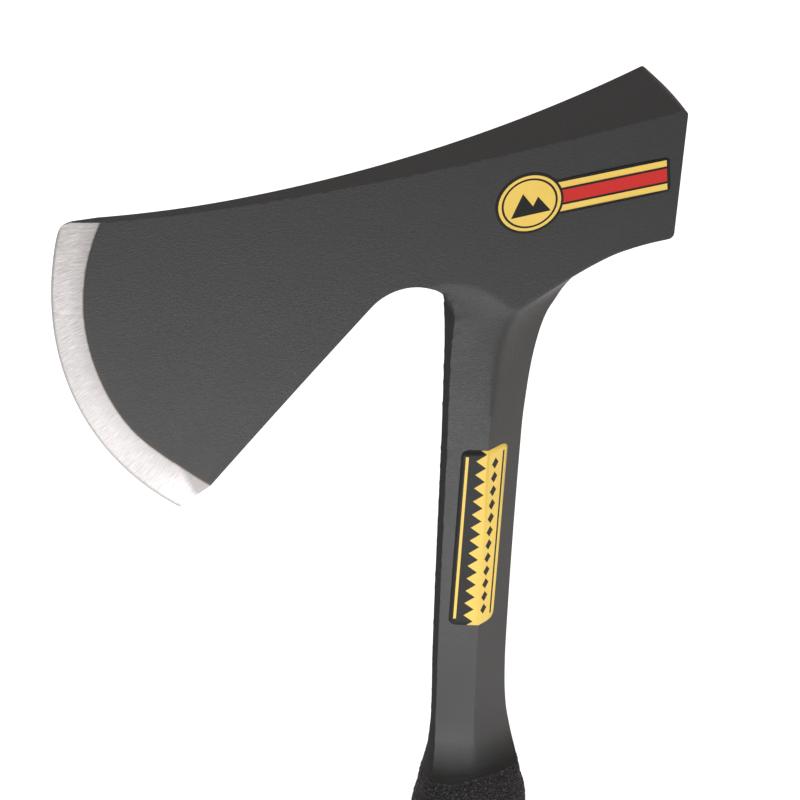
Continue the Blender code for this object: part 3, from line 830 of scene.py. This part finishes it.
def bevel_grid(side):
    """The ground bevel in space, from its inner line to the cutting edge, and its surface coordinates.

    The half thickness is the cheek's at the inner line, and falls evenly towards the edge's arc.
    """
    inner, outer, edge_radius = bevel_lines()
    flat = ruled(inner, outer, BEVEL_COLUMNS)
    reach = np.hypot(*(flat - EDGE_CENTRE).transpose(2, 0, 1))
    depth = (edge_radius - reach) / (edge_radius - np.hypot(*(inner - EDGE_CENTRE).T))[:, None]
    depth = np.clip(depth, 0, 1)
    place = np.stack(np.broadcast_arrays(distance_along(outer)[:, None], depth), axis=-1)
    return solid(flat, cheek_half(inner[:, 0])[:, None] * depth, side), place


def crease(flat, columns, ridge):
    """A stretch of the cheek's lower side as (x, half, drop), with the neck's ridge as its last point."""
    x, drop = flat[0, columns].T
    points = np.column_stack([x, cheek_half(x), drop])
    points[-1, :2] = ridge
    return points


def facet_grid(first, last, ring, drop):
    """A facet as (x, half, drop): straight lines between its two edges, then the neck's own section."""
    neck = np.dstack([ring, np.broadcast_to(drop[:, None, None], (*ring.shape[:2], 1))])
    return np.vstack([ruled(first, last, FACET_COLUMNS)[:-1], neck])


def sink(facet, edge):
    """Hollows a facet where it runs out into the cheek: a parabola across it that fades down the neck."""
    across = np.linspace(0, 1, FACET_COLUMNS)[None, :]
    fade = np.clip(1 - (facet[:, :1, 2] - 62.0) / 24.0, 0, 1)
    fade = fade * np.clip(np.arange(len(facet)) / edge, 0, 1)[:, None]
    facet[..., 1] -= set_size("axe_neck", "hollow") * 4 * across * (1 - across) * fade


def trim(facet, side):
    """Trimmed flash: the neck's front edge wanders by two sizes of noise, most near the arch."""
    row, drop = np.arange(len(facet)), facet[:, 0, 2]
    fade = (0.35 + 0.65 * np.exp(-row / 40.0)) * np.clip(row / 6.0, 0, 1)
    wander = noise(drop, side * 9.0, 1.7, 5) + 0.6 * noise(drop, side * 5.0, 0.7, 6)
    flash = set_size("axe_head", "flash")
    facet[:, 0, 1] += flash * wander * fade
    facet[:, 0, 0] -= 0.5 * flash * np.abs(wander) * fade


def facets(flat, side):
    """Front and rear facet of one side as (x, half, drop), from the cheek's creases down into the grip."""
    drop = np.linspace(NECK[0][0], GRIP_TOP_DROP + UNDER_GRIP, bpy.context.scene.axe_neck.rows)
    where = np.r_[np.linspace(1, 2, FACET_COLUMNS), np.linspace(2, 3, FACET_COLUMNS)[1:]]
    ring, _ = neck_ring(drop, where)
    ring[..., 1] = np.abs(ring[..., 1])
    ridge = ring[0, FACET_COLUMNS - 1]
    # the front facet lies between the arch's rim, then the neck's front edge, and the front crease
    centre, radius = arch_centre()
    rim = arc(*centre, radius, RIM_START_DEGREES, 0, FRONT)
    rim = np.column_stack([rim[:, 0], np.linspace(cheek_half(rim[0, 0]), NECK[0][2], FRONT), rim[:, 1]])
    rim[-1] = *ring[0, 0], drop[0]
    inner = crease(flat, slice(CREASE, CREASE + FRONT), ridge)
    front = facet_grid(rim, inner, ring[:, :FACET_COLUMNS], drop)
    # the rear facet lies between the rear crease, then the ridge, and the narrow back
    vertex = CREASE + FRONT - 1
    inner = crease(flat, slice(vertex + REAR - 1, vertex - 1, -1), ridge)
    x, start_drop = REAR_CREASE[-1]
    shoulder = spline([(x, float(cheek_half(x)), start_drop), *SHOULDER], REAR)
    shoulder[0] = inner[0]
    shoulder[-1] = *ring[0, -1], drop[0]
    rear = facet_grid(inner, shoulder, ring[:, FACET_COLUMNS - 1:], drop)
    sink(front, FRONT)
    sink(rear, REAR)
    trim(front, side)
    return front, rear


def cheek_softness(cheek):
    """How far the cheek is smoothed near the creases: a bell across them that fades at their ends."""
    soft = np.zeros(cheek.shape[:2])
    count = FRONT + REAR - 1
    columns = slice(CREASE, CREASE + count)
    apart = np.linalg.norm(cheek[:, columns] - cheek[:1, columns], axis=-1)
    from_end = np.minimum(np.arange(count), np.arange(count)[::-1])
    soft[:, columns] = np.exp(-((apart / CREASE_SOFT) ** 2)) * np.clip(from_end / 8.0, 0, 1)
    return soft


def facet_softness(facet, edge, inner):
    """The same on a facet: a bell across from its inner column, fading down the ridge, and none outside."""
    apart = np.linalg.norm(facet - facet[:, [inner]], axis=-1)
    row = np.arange(len(facet))
    fade = np.clip(row / 8.0, 0, 1) * np.clip(1 - (row - edge) / 26.0, 0, 1)
    soft = np.exp(-((apart / CREASE_SOFT) ** 2)) * fade[:, None]
    soft[:, -1 - inner] = 0.0
    return soft


def add_side(skin, side):
    """Adds one side's cheek, bevel and facets, and gives them back for the ribbons that join the sides."""
    flat = cheek_grid()
    cheek = solid(flat, cheek_half(flat[..., 0]), side)
    from_top = np.linalg.norm(cheek - cheek[-1:], axis=-1)
    skin.grid(cheek, PAINT, line=from_top, soft=cheek_softness(cheek))
    bevel, place = bevel_grid(side)
    skin.grid(bevel, STEEL, flat=place)
    front, rear = facets(flat, side)
    lifted = lift(front, side)
    from_edge = np.linalg.norm(lifted - lifted[:, :1], axis=-1)
    skin.grid(lifted, PAINT, line=from_edge * 1.3, soft=facet_softness(front, FRONT, -1))
    skin.grid(lift(rear, side), PAINT, soft=facet_softness(rear, REAR, 0))
    return cheek, bevel, front, rear


def neck_flat(near, far, first, last):
    """A strip that joins the sides' facets along one edge, given as near and far rows of (x, half, drop).

    It is straight across, and on the neck itself it also bulges as the section does between two of its
    corners, which are given by number from the near side to the far side.
    """
    strip = ruled(lift(near, -1), lift(far, 1), ACROSS)
    rows = bpy.context.scene.axe_neck.rows
    ring, _ = neck_ring(near[-rows:, 2], np.linspace(first, last, ACROSS))
    strip[-rows:, :, :2] += ring - ruled(ring[:, 0], ring[:, -1], ACROSS)
    return strip


def make_forging():
    """The forging: both sides' grids, and ribbons across the thickness that join them."""
    skin = Skin()
    cheek, bevel, front, rear = add_side(skin, -1)
    far_cheek, far_bevel, far_front, far_rear = add_side(skin, 1)
    # top line, underside with the arch, and the poll's underside
    under = BEARD + ARCH - 1
    for line in ((-1, slice(None)), (0, slice(under)), (0, slice(under + FRONT + REAR - 3, None))):
        skin.grid(ruled(cheek[line], far_cheek[line], ACROSS))
    # striking face, crowned across its thickness
    face = ruled(cheek[:, -1], far_cheek[:, -1], ACROSS)
    across, down = np.linspace(-1, 1, ACROSS)[None, :], np.linspace(0, 1, len(face))[:, None]
    crown = set_size("axe_head", "poll_crown")
    face[..., 0] += crown * (1 - across ** 2) * np.clip(8 * down * (1 - down), 0, 1)
    skin.grid(face)
    # neck's front flat and narrow back
    skin.grid(neck_flat(front[:, 0], far_front[:, 0], 1, 0), FLASH)
    skin.grid(neck_flat(rear[:, -1], far_rear[:, -1], 3, 4))
    # ends of the bevel, and the thin land round the toe
    for line, slot in ((0, STEEL), (-1, PAINT), ((slice(None), -1), STEEL)):
        strip = ruled(bevel[line], far_bevel[line], 3)
        skin.grid(strip, slot, flat=np.broadcast_to(LAND_PLACE, (*strip.shape[:2], 2)))
    piece = skin.build("camper_axe_forging", [paint_material(), ground_steel_material(), flash_material()])
    rounding = piece.modifiers.new("edge_rounding", "BEVEL")
    rounding.width = bpy.context.scene.axe_head.edge_round
    rounding.segments = 2
    rounding.limit_method = "ANGLE"
    rounding.angle_limit = math.radians(35)
    return piece


GRIP_COLUMNS, GRIP_ROWS = 256, 330
GRIP_STEP = 0.25     # millimetres between the even sections that the grip's points are read off
GRIP_LEAD = 6.0      # the even sections start this far above the rim's own height
GRIP_GIRTH = 104.0   # distance round the grip that the grain's size is worked out from
PALM = (44.0, 125.0)  # the grooves' stretch, down from the rim
GROOVE_PITCH = 9.0


def smooth(t):
    """Smoothstep of a number from 0 to 1."""
    return t * t * (3 - 2 * t)


def grip_ring(drop, where):
    """The grip's section at each drop: the neck's own near the top, then ovals from the grip's table."""
    ring, angle = neck_ring(drop, where)
    table = track([(1 - at, *row) for at, *row in reversed(GRIP)],
                  (drop - GRIP_TOP_DROP) / (GRIP_END_DROP - GRIP_TOP_DROP))
    middle, width, half = table.T
    corners = np.stack([
        np.column_stack([middle - width, half]),
        np.column_stack([middle, half / OVAL_SWELL]),
        np.column_stack([middle + width, half]),
    ], axis=1)
    blend = smooth(np.clip((drop - GRIP_TOP_DROP + 2.0) / 12.0, 0, 1)[:, None, None])
    return ring * (1 - blend) + oval(corners, angle[-1:]) * blend


def outwards(rings):
    """Unit vectors square to closed rings in their own plane, pointing away from each ring's middle."""
    tangent = np.roll(rings, -1, axis=1) - np.roll(rings, 1, axis=1)
    out = np.stack([tangent[..., 1], -tangent[..., 0]], axis=-1)
    out /= np.linalg.norm(out, axis=-1, keepdims=True)
    from_middle = rings - rings.mean(axis=1, keepdims=True)
    return out * np.sign(np.sum(out * from_middle, axis=-1, keepdims=True))


def grip_relief(down, turn, x, below):
    """Height of the grip's surface over its section: grain, less the grooves, plus a wall over the steel.

    The grain is two sizes of noise. The grooves are a row of bells down the palm, on its front and its back.
    """
    grip = bpy.context.scene.axe_grip
    size = grip.grain_size / MM
    period = int(round(GRIP_GIRTH / size))
    around = np.broadcast_to(turn[None, :], down.shape)
    lumps = noise(around * period, down / size, 1.0, 21, period)
    lumps = lumps + 0.6 * noise(around * 2 * period, 2 * down / size, 1.0, 22, 2 * period)
    height = grip.grain_depth / MM * lumps * np.clip(below / 0.8, 0, 1)
    start, end = (GRIP_TOP_DROP + distance for distance in PALM)
    groove = np.exp(-((((down - start) % GROOVE_PITCH - GROOVE_PITCH / 2) / 1.5) ** 2))
    palm = np.clip((down - start) / 4.0, 0, 1) * np.clip((end - down) / 4.0, 0, 1)
    on_edges = np.clip(np.abs(x - 1.8) / 9.0 - 0.75, 0, 1)
    height -= grip.groove_depth / MM * groove * palm * on_edges
    return height + (0.05 + 0.15 * np.clip(below / 6.0, 0, 1))


def make_grip():
    """The moulded grip: rings down its length, with a relief on them, and a closed butt.

    Each column starts at the grip's slanted, wavering rim. A point is the section's point, moved along the
    section's outward direction by the height of the relief.
    """
    where = np.linspace(0, 6, GRIP_COLUMNS, endpoint=False)
    # evenly spaced rings first, then each column read off them at its own drops
    even_drop = np.arange(GRIP_TOP_DROP - GRIP_LEAD, GRIP_END_DROP + GRIP_STEP, GRIP_STEP)
    rings = grip_ring(even_drop, where)
    outward = outwards(rings)
    rim_ring = rings[round(GRIP_LEAD / GRIP_STEP)]
    turn = np.cumsum(np.linalg.norm(np.roll(rim_ring, -1, axis=0) - rim_ring, axis=-1))
    turn = turn / turn[-1]
    rim = GRIP_TOP_DROP - 4.4 + 0.8 * noise(turn * 14, turn * 0 + 3.0, 1.0, 11, 14)
    rim += 0.3 * noise(turn * 60, turn * 0 + 3.0, 1.0, 12, 60)
    t = np.linspace(0, 1, GRIP_ROWS)[:, None] ** 1.12
    down = rim[None, :] + (GRIP_END_DROP - rim[None, :]) * t
    place = (down - even_drop[0]) / GRIP_STEP
    k = np.clip(place.astype(int), 0, len(even_drop) - 2)
    part = (place - k)[..., None]
    column = np.arange(GRIP_COLUMNS)[None, :]
    ring = rings[k, column] * (1 - part) + rings[k + 1, column] * part
    out = outward[k, column] * (1 - part) + outward[k + 1, column] * part
    below = down - rim[None, :]
    height = grip_relief(down, turn, ring[..., 0], below)
    points = np.dstack([ring + out * height[..., None], HEAD_TOP - down])
    # rings that shrink towards the middle close the butt, and a lip at the top runs inside the steel
    last = points[-1]
    inset = np.linspace(0, 1, 24)[1:, None, None]
    butt = last[None] * (1 - inset) + last.mean(axis=0)[None, None] * inset
    lip = points[:1].copy()
    lip[..., :2] -= out[:1] * 1.2
    lip[..., 2] -= 1.0
    grain = np.clip(below / 0.8, 0, 1)
    lines = np.concatenate([grain[:1], grain, np.repeat(grain[-1:], len(butt), axis=0)])
    skin = Skin()
    skin.grid(np.concatenate([lip, points, butt]), around=True, line=lines)
    return skin.build("moulded_grip", [vinyl_material()], sharp=55.0)


FILM_GAP = 0.07            # millimetres from the steel to the film's face
FILM_THICKNESS = 0.00005   # metres
LABEL_SLANT = -1.26        # degrees; the label is stuck on at a slight slant


def anticlockwise(shape):
    """The polygon in the turning direction that the triangulation takes as filled."""
    shape = np.asarray(shape, float)
    x, y = shape.T
    area = np.sum(x * np.roll(y, -1) - np.roll(x, -1) * y)
    return shape if area > 0 else shape[::-1]


def printed_film(name, outline, prints, half, spacing, materials, bends=()):
    """A film cut to an outline, with its printed shapes cut into the same triangles.

    outline and prints are (x, drop) polygons, and a later print lies over an earlier one. half gives the
    steel's half thickness at each point, and the film lies just in front of it.
    """
    shapes = [anticlockwise(shape) for shape in (outline, *(shape for _, shape in prints))]
    inks = [0] + [ink for ink, _ in prints]
    low, high = shapes[0].min(axis=0), shapes[0].max(axis=0)
    x, drop = np.meshgrid(np.arange(low[0], high[0], spacing), np.arange(low[1], high[1], spacing))
    loose = np.column_stack([x.ravel(), drop.ravel()])
    ends = np.array([(at, d) for at in bends for d in (low[1] - 1, high[1] + 1)]).reshape(-1, 2)
    points = np.vstack([*shapes, ends, loose])
    first = np.cumsum([0] + [len(shape) for shape in shapes])
    regions = [list(range(a, b)) for a, b in zip(first, first[1:])]
    edges = [(int(first[-1]) + 2 * k, int(first[-1]) + 2 * k + 1) for k in range(len(bends))]
    cut = delaunay_2d_cdt([Vector(p) for p in points], edges, regions, 0, 1e-5)
    found, faces, inside = cut[0], cut[2], cut[5]
    kept = [(face, max(own)) for face, own in zip(faces, inside) if 0 in own]
    flat = np.array([tuple(p) for p in found])
    space = solid(flat, half(flat[:, 0], flat[:, 1]) + FILM_GAP, -1) * MM
    mesh = bpy.data.meshes.new(name)
    mesh.from_pydata(space.tolist(), [], [face for face, _ in kept])
    mesh.polygons.foreach_set("material_index", np.array([inks[top] for _, top in kept], np.int32))
    edit = bmesh.new()
    edit.from_mesh(mesh)
    bmesh.ops.delete(edit, geom=[v for v in edit.verts if not v.link_faces], context="VERTS")
    edit.normal_update()
    bmesh.ops.reverse_faces(edit, faces=[face for face in edit.faces if face.normal.y > 0])
    edit.to_mesh(mesh)
    edit.free()
    piece = as_piece(name, mesh, materials, 30.0)
    sheet = piece.modifiers.new("film_thickness", "SOLIDIFY")
    sheet.thickness = FILM_THICKNESS
    sheet.offset = -1.0
    return piece


def disc(x, drop, radius, count=48):
    """A circle as a polygon."""
    return arc(x, drop, radius, 0, 360, count + 1)[:-1]


def box_shape(low, high, start, end):
    """A rectangle as a polygon, in two coordinates."""
    return np.array([(low, start), (high, start), (high, end), (low, end)], float)


def turned(shape, middle, degrees):
    """A polygon turned about a point: rising towards the poll for a positive angle."""
    angle = math.radians(degrees)
    turn = np.array([[math.cos(angle), -math.sin(angle)], [math.sin(angle), math.cos(angle)]])
    return (np.asarray(shape, float) - middle) @ turn + middle


def make_head_decal():
    """The badge: a ringed disc with two plain triangles in it, and three straight bars that rise from it.

    Everything is laid out level about the disc's middle, and turned by the badge's tilt.
    """
    looks = bpy.context.scene.axe_finish
    materials = [ink_material("film_black", looks.black), ink_material("film_yellow", looks.yellow),
                 ink_material("film_red", looks.red)]
    black, yellow, red = 0, 1, 2
    x, drop, radius, length, tilt, opening, corner = 7.0, 24.0, 9.4, 38.5, 7.0, 35.0, 1.2
    middle = np.array([x, drop])
    half = radius * math.sin(math.radians(opening))
    outline = np.vstack([
        arc(x, drop, radius, opening, 360 - opening, 60),
        arc(x + length - corner, drop + half - corner, corner, -90, 0, 6),
        arc(x + length - corner, drop - half + corner, corner, 0, 90, 6),
    ])
    prints = [(ink, box_shape(x + 6.0, x + length - 0.9, drop + low, drop + high))
              for ink, low, high in ((yellow, -4.6, -2.7), (red, -2.0, 2.0), (yellow, 2.7, 4.6))]
    prints += [(ink, disc(x, drop, size))
               for ink, size in ((black, 9.3), (yellow, 8.6), (black, 7.7), (yellow, 7.1))]
    prints += [(black, [(x + left, drop + 3.6), (x + peak, drop + top), (x + right, drop + 3.6)])
               for left, peak, top, right in ((-5.4, -1.6, -3.4, 2.2), (-0.6, 2.4, -1.6, 5.6))]
    prints = [(ink, turned(shape, middle, tilt)) for ink, shape in prints]
    return printed_film("head_badge", turned(outline, middle, tilt), prints,
                        lambda x, drop: cheek_half(x), 1.2, materials)


def neck_half(x, drop):
    """Half thickness of the neck at points of its side: straight from front to ridge, and ridge to rear."""
    corners, _ = neck_hexagon(np.asarray(drop, float))
    front, ridge, rear = corners[:, 0], corners[:, 1], corners[:, 2]
    before = np.clip((x - front[:, 0]) / (ridge[:, 0] - front[:, 0]), 0, 1)
    after = np.clip((x - ridge[:, 0]) / (rear[:, 0] - ridge[:, 0]), 0, 1)
    return front[:, 1] + (ridge[:, 1] - front[:, 1]) * before + (rear[:, 1] - ridge[:, 1]) * after


def make_neck_label():
    """The long label: yellow, with a strip of even black teeth along the front, a rule and a row of diamonds.

    The strip's edge is a triangle wave, the same from end to end.
    """
    looks = bpy.context.scene.axe_finish
    materials = [ink_material("label_yellow", looks.yellow), ink_material("label_black", looks.black)]
    yellow, black = 0, 1
    left, right, top, bottom, r = -8.3, 6.1, 106.6, 175.3, 2.4
    middle = np.array([(left + right) / 2, (top + bottom) / 2])
    outline = np.vstack([
        arc(right - r, top + r, r, 0, 90, 8), arc(left + r, top + r, r, 90, 180, 8),
        arc(left + r, bottom - r, r, 180, 270, 8), arc(right - r, bottom - r, r, 270, 360, 8),
    ])
    teeth = 14
    drop = np.linspace(top - 1.0, bottom + 1.0, 2 * teeth + 1)
    edge = np.where(np.arange(len(drop)) % 2, left + 7.0, left + 4.2)
    strip = np.vstack([(left - 1.0, drop[0]), np.column_stack([edge, drop]), (left - 1.0, drop[-1])])
    prints = [(black, strip), (yellow, box_shape(left + 1.3, left + 2.1, top + 2.6, bottom - 2.6))]
    prints += [(black, [(1.9, at - 2.1), (3.1, at), (1.9, at + 2.1), (0.7, at)])
               for at in np.linspace(top + 6.0, bottom - 6.0, 12)]
    prints.append((black, box_shape(right - 1.6, right - 1.0, top + 2.6, bottom - 2.6)))
    prints = [(ink, turned(shape, middle, LABEL_SLANT)) for ink, shape in prints]
    ridge_x = float(track(NECK, [140.0])[0, 2])
    return printed_film("neck_label_film", turned(outline, middle, LABEL_SLANT), prints, neck_half, 2.4,
                        materials, bends=(ridge_x,))


# ------------------------------------------------------------ operators


class AXE_OT_forging(bpy.types.Operator):
    """Builds the forging: painted head and neck with a bare ground bevel"""

    bl_idname = "axe.forging"
    bl_label = "Forging"

    def execute(self, context):
        piece = make_forging()
        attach(piece, "root")
        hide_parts("axe_forging")
        return {"FINISHED"}


class AXE_OT_grip(bpy.types.Operator):
    """Builds the moulded grip with its grain"""

    bl_idname = "axe.grip"
    bl_label = "Grip"

    def execute(self, context):
        piece = make_grip()
        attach(piece, "root")
        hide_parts("grip")
        return {"FINISHED"}


class AXE_OT_films(bpy.types.Operator):
    """Builds the two printed films"""

    bl_idname = "axe.films"
    bl_label = "Printed films"

    def execute(self, context):
        for piece, node, slot in ((make_head_decal(), "head_decal", "head_film"),
                                  (make_neck_label(), "neck_label", "neck_film")):
            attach(piece, "root")
            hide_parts(node)
        return {"FINISHED"}


# Area lights: name, watts, colour, width, height, place, and the point that they face
WHITE, WARM = (1.0, 1.0, 1.0), (1.0, 0.82, 0.72)
SOFTBOXES = (
    ("left_softbox", 2.5, WHITE, 0.9, 0.9, (-1.3, -0.9, 0.55), (0.0, 0.0, 0.33)),
    ("neck_card", 0.46, WHITE, 0.20, 0.12, (-0.12, -0.28, 0.050), (0.0, 0.0, 0.26)),
    ("heel_card", 0.18, WHITE, 0.14, 0.06, (0.05, -0.30, 0.02), (-0.08, 0.0, 0.31)),
    ("right_card", 0.13, WARM, 0.20, 0.20, (0.36, -0.18, 0.03), (0.0, 0.0, 0.33)),
    ("back_softbox", 4.0, WHITE, 1.2, 0.5, (-0.1, 1.3, 0.30), (0.0, 0.0, 0.25)),
)
# Camera: azimuth, elevation and roll in degrees, its distance in metres, and the point that it turns about
CAMERA_TURN = (-21.14, 37.33, 1.45)
CAMERA_DISTANCE = 0.58937
CAMERA_TARGET = (-0.02548, 0.0, 0.32534)
CAMERA_LENS = 94.5


def add_lamp(name, kind, energy, away):
    """A light, with its back turned towards a direction."""
    lamp = bpy.data.objects.new(name, bpy.data.lights.new(name, kind))
    lamp.data.energy = energy
    lamp.rotation_mode = "QUATERNION"
    lamp.rotation_quaternion = Vector(away).to_track_quat("Z", "Y")
    bpy.context.scene.collection.objects.link(lamp)
    return lamp


def add_camera():
    """The camera: it looks back along the direction of its azimuth and elevation, and is rolled about it."""
    azimuth, elevation, roll = (math.radians(angle) for angle in CAMERA_TURN)
    back = Vector((math.sin(azimuth) * math.cos(elevation), -math.cos(azimuth) * math.cos(elevation),
                   math.sin(elevation)))
    right = Vector((math.cos(azimuth), math.sin(azimuth), 0.0))
    up = back.cross(right)
    turned_right = math.cos(roll) * right + math.sin(roll) * up
    turned_up = -math.sin(roll) * right + math.cos(roll) * up
    data = bpy.data.cameras.new("camera")
    data.sensor_width = 36.0
    data.lens = CAMERA_LENS
    camera = bpy.data.objects.new("camera", data)
    turn = Matrix((turned_right, turned_up, back)).transposed().to_4x4()
    camera.matrix_world = Matrix.Translation(Vector(CAMERA_TARGET) + CAMERA_DISTANCE * back) @ turn
    bpy.context.scene.collection.objects.link(camera)
    bpy.context.scene.camera = camera


class AXE_OT_stage(bpy.types.Operator):
    """Adds a pale floor, soft light and the camera"""

    bl_idname = "axe.stage"
    bl_label = "Stage"

    def execute(self, context):
        scene = context.scene
        scene.view_settings.view_transform = "Standard"
        shader = Shader("stage_floor", 0.9, specular=0.1)
        shader.set("Base Color", (0.90, 0.90, 0.90))
        shader.set("Emission Color", WHITE)
        shader.set("Emission Strength", 0.24)
        bpy.ops.mesh.primitive_circle_add(vertices=96, radius=1.6, fill_type="NGON")
        floor = context.object
        floor.name = "stage_floor"
        floor.data.materials.append(shader.material)
        # the backdrop shows white, and lights the axe less than it shows
        scene.world = bpy.data.worlds.new("studio")
        scene.world.use_nodes = True
        tree = Tree(scene.world.node_tree)
        seen = tree.node("ShaderNodeLightPath", output="Is Camera Ray")
        strength = tree.node("ShaderNodeMapRange", inputs={"To Min": 0.52, "To Max": 1.0, "Value": seen})
        backdrop = tree.nodes["Background"]
        tree.put(backdrop.inputs["Color"], tree.mix(seen, (1.0, 0.93, 0.90), WHITE))
        tree.put(backdrop.inputs["Strength"], strength)
        add_lamp("overhead", "SUN", 1.7, (-0.1, -0.45, 1.0)).data.angle = math.radians(60.0)
        for name, energy, tint, width, height, place, aim in SOFTBOXES:
            lamp = add_lamp(name, "AREA", energy, Vector(place) - Vector(aim))
            lamp.location = place
            lamp.visible_camera = False
            lamp.data.color = tint
            lamp.data.shape = "RECTANGLE"
            lamp.data.size, lamp.data.size_y = width, height
        add_camera()
        return {"FINISHED"}


class AXE_PT_panel(bpy.types.Panel):
    """Lists the steps and the sizes"""

    bl_idname = "AXE_PT_panel"
    bl_label = "Camper's axe"
    bl_space_type = "VIEW_3D"
    bl_region_type = "UI"
    bl_category = "Axe"

    def draw(self, context):
        for group in GROUPS:
            values = getattr(context.scene, group)
            box = self.layout.box()
            for key in values.bl_rna.properties.keys():
                if key not in ("rna_type", "name"):
                    box.prop(values, key)
        for operator in STEPS:
            self.layout.operator(operator.bl_idname)


GROUPS = {"axe_head": AXE_PG_head, "axe_neck": AXE_PG_neck, "axe_grip": AXE_PG_grip,
          "axe_finish": AXE_PG_finish}
STEPS = (AXE_OT_stage, AXE_OT_forging, AXE_OT_grip, AXE_OT_films)


def register():
    for group in GROUPS.values():
        bpy.utils.register_class(group)
    for name, group in GROUPS.items():
        setattr(bpy.types.Scene, name, PointerProperty(type=group))
    for kind in (*STEPS, AXE_PT_panel):
        bpy.utils.register_class(kind)


def unregister():
    for kind in (AXE_PT_panel, *reversed(STEPS)):
        bpy.utils.unregister_class(kind)
    for name, group in reversed(GROUPS.items()):
        delattr(bpy.types.Scene, name)
        bpy.utils.unregister_class(group)


def main():
    register()
    bpy.ops.axe.stage()
    bpy.ops.axe.forging()
    bpy.ops.axe.grip()
    bpy.ops.axe.films()


if __name__ == "__main__":
    main()
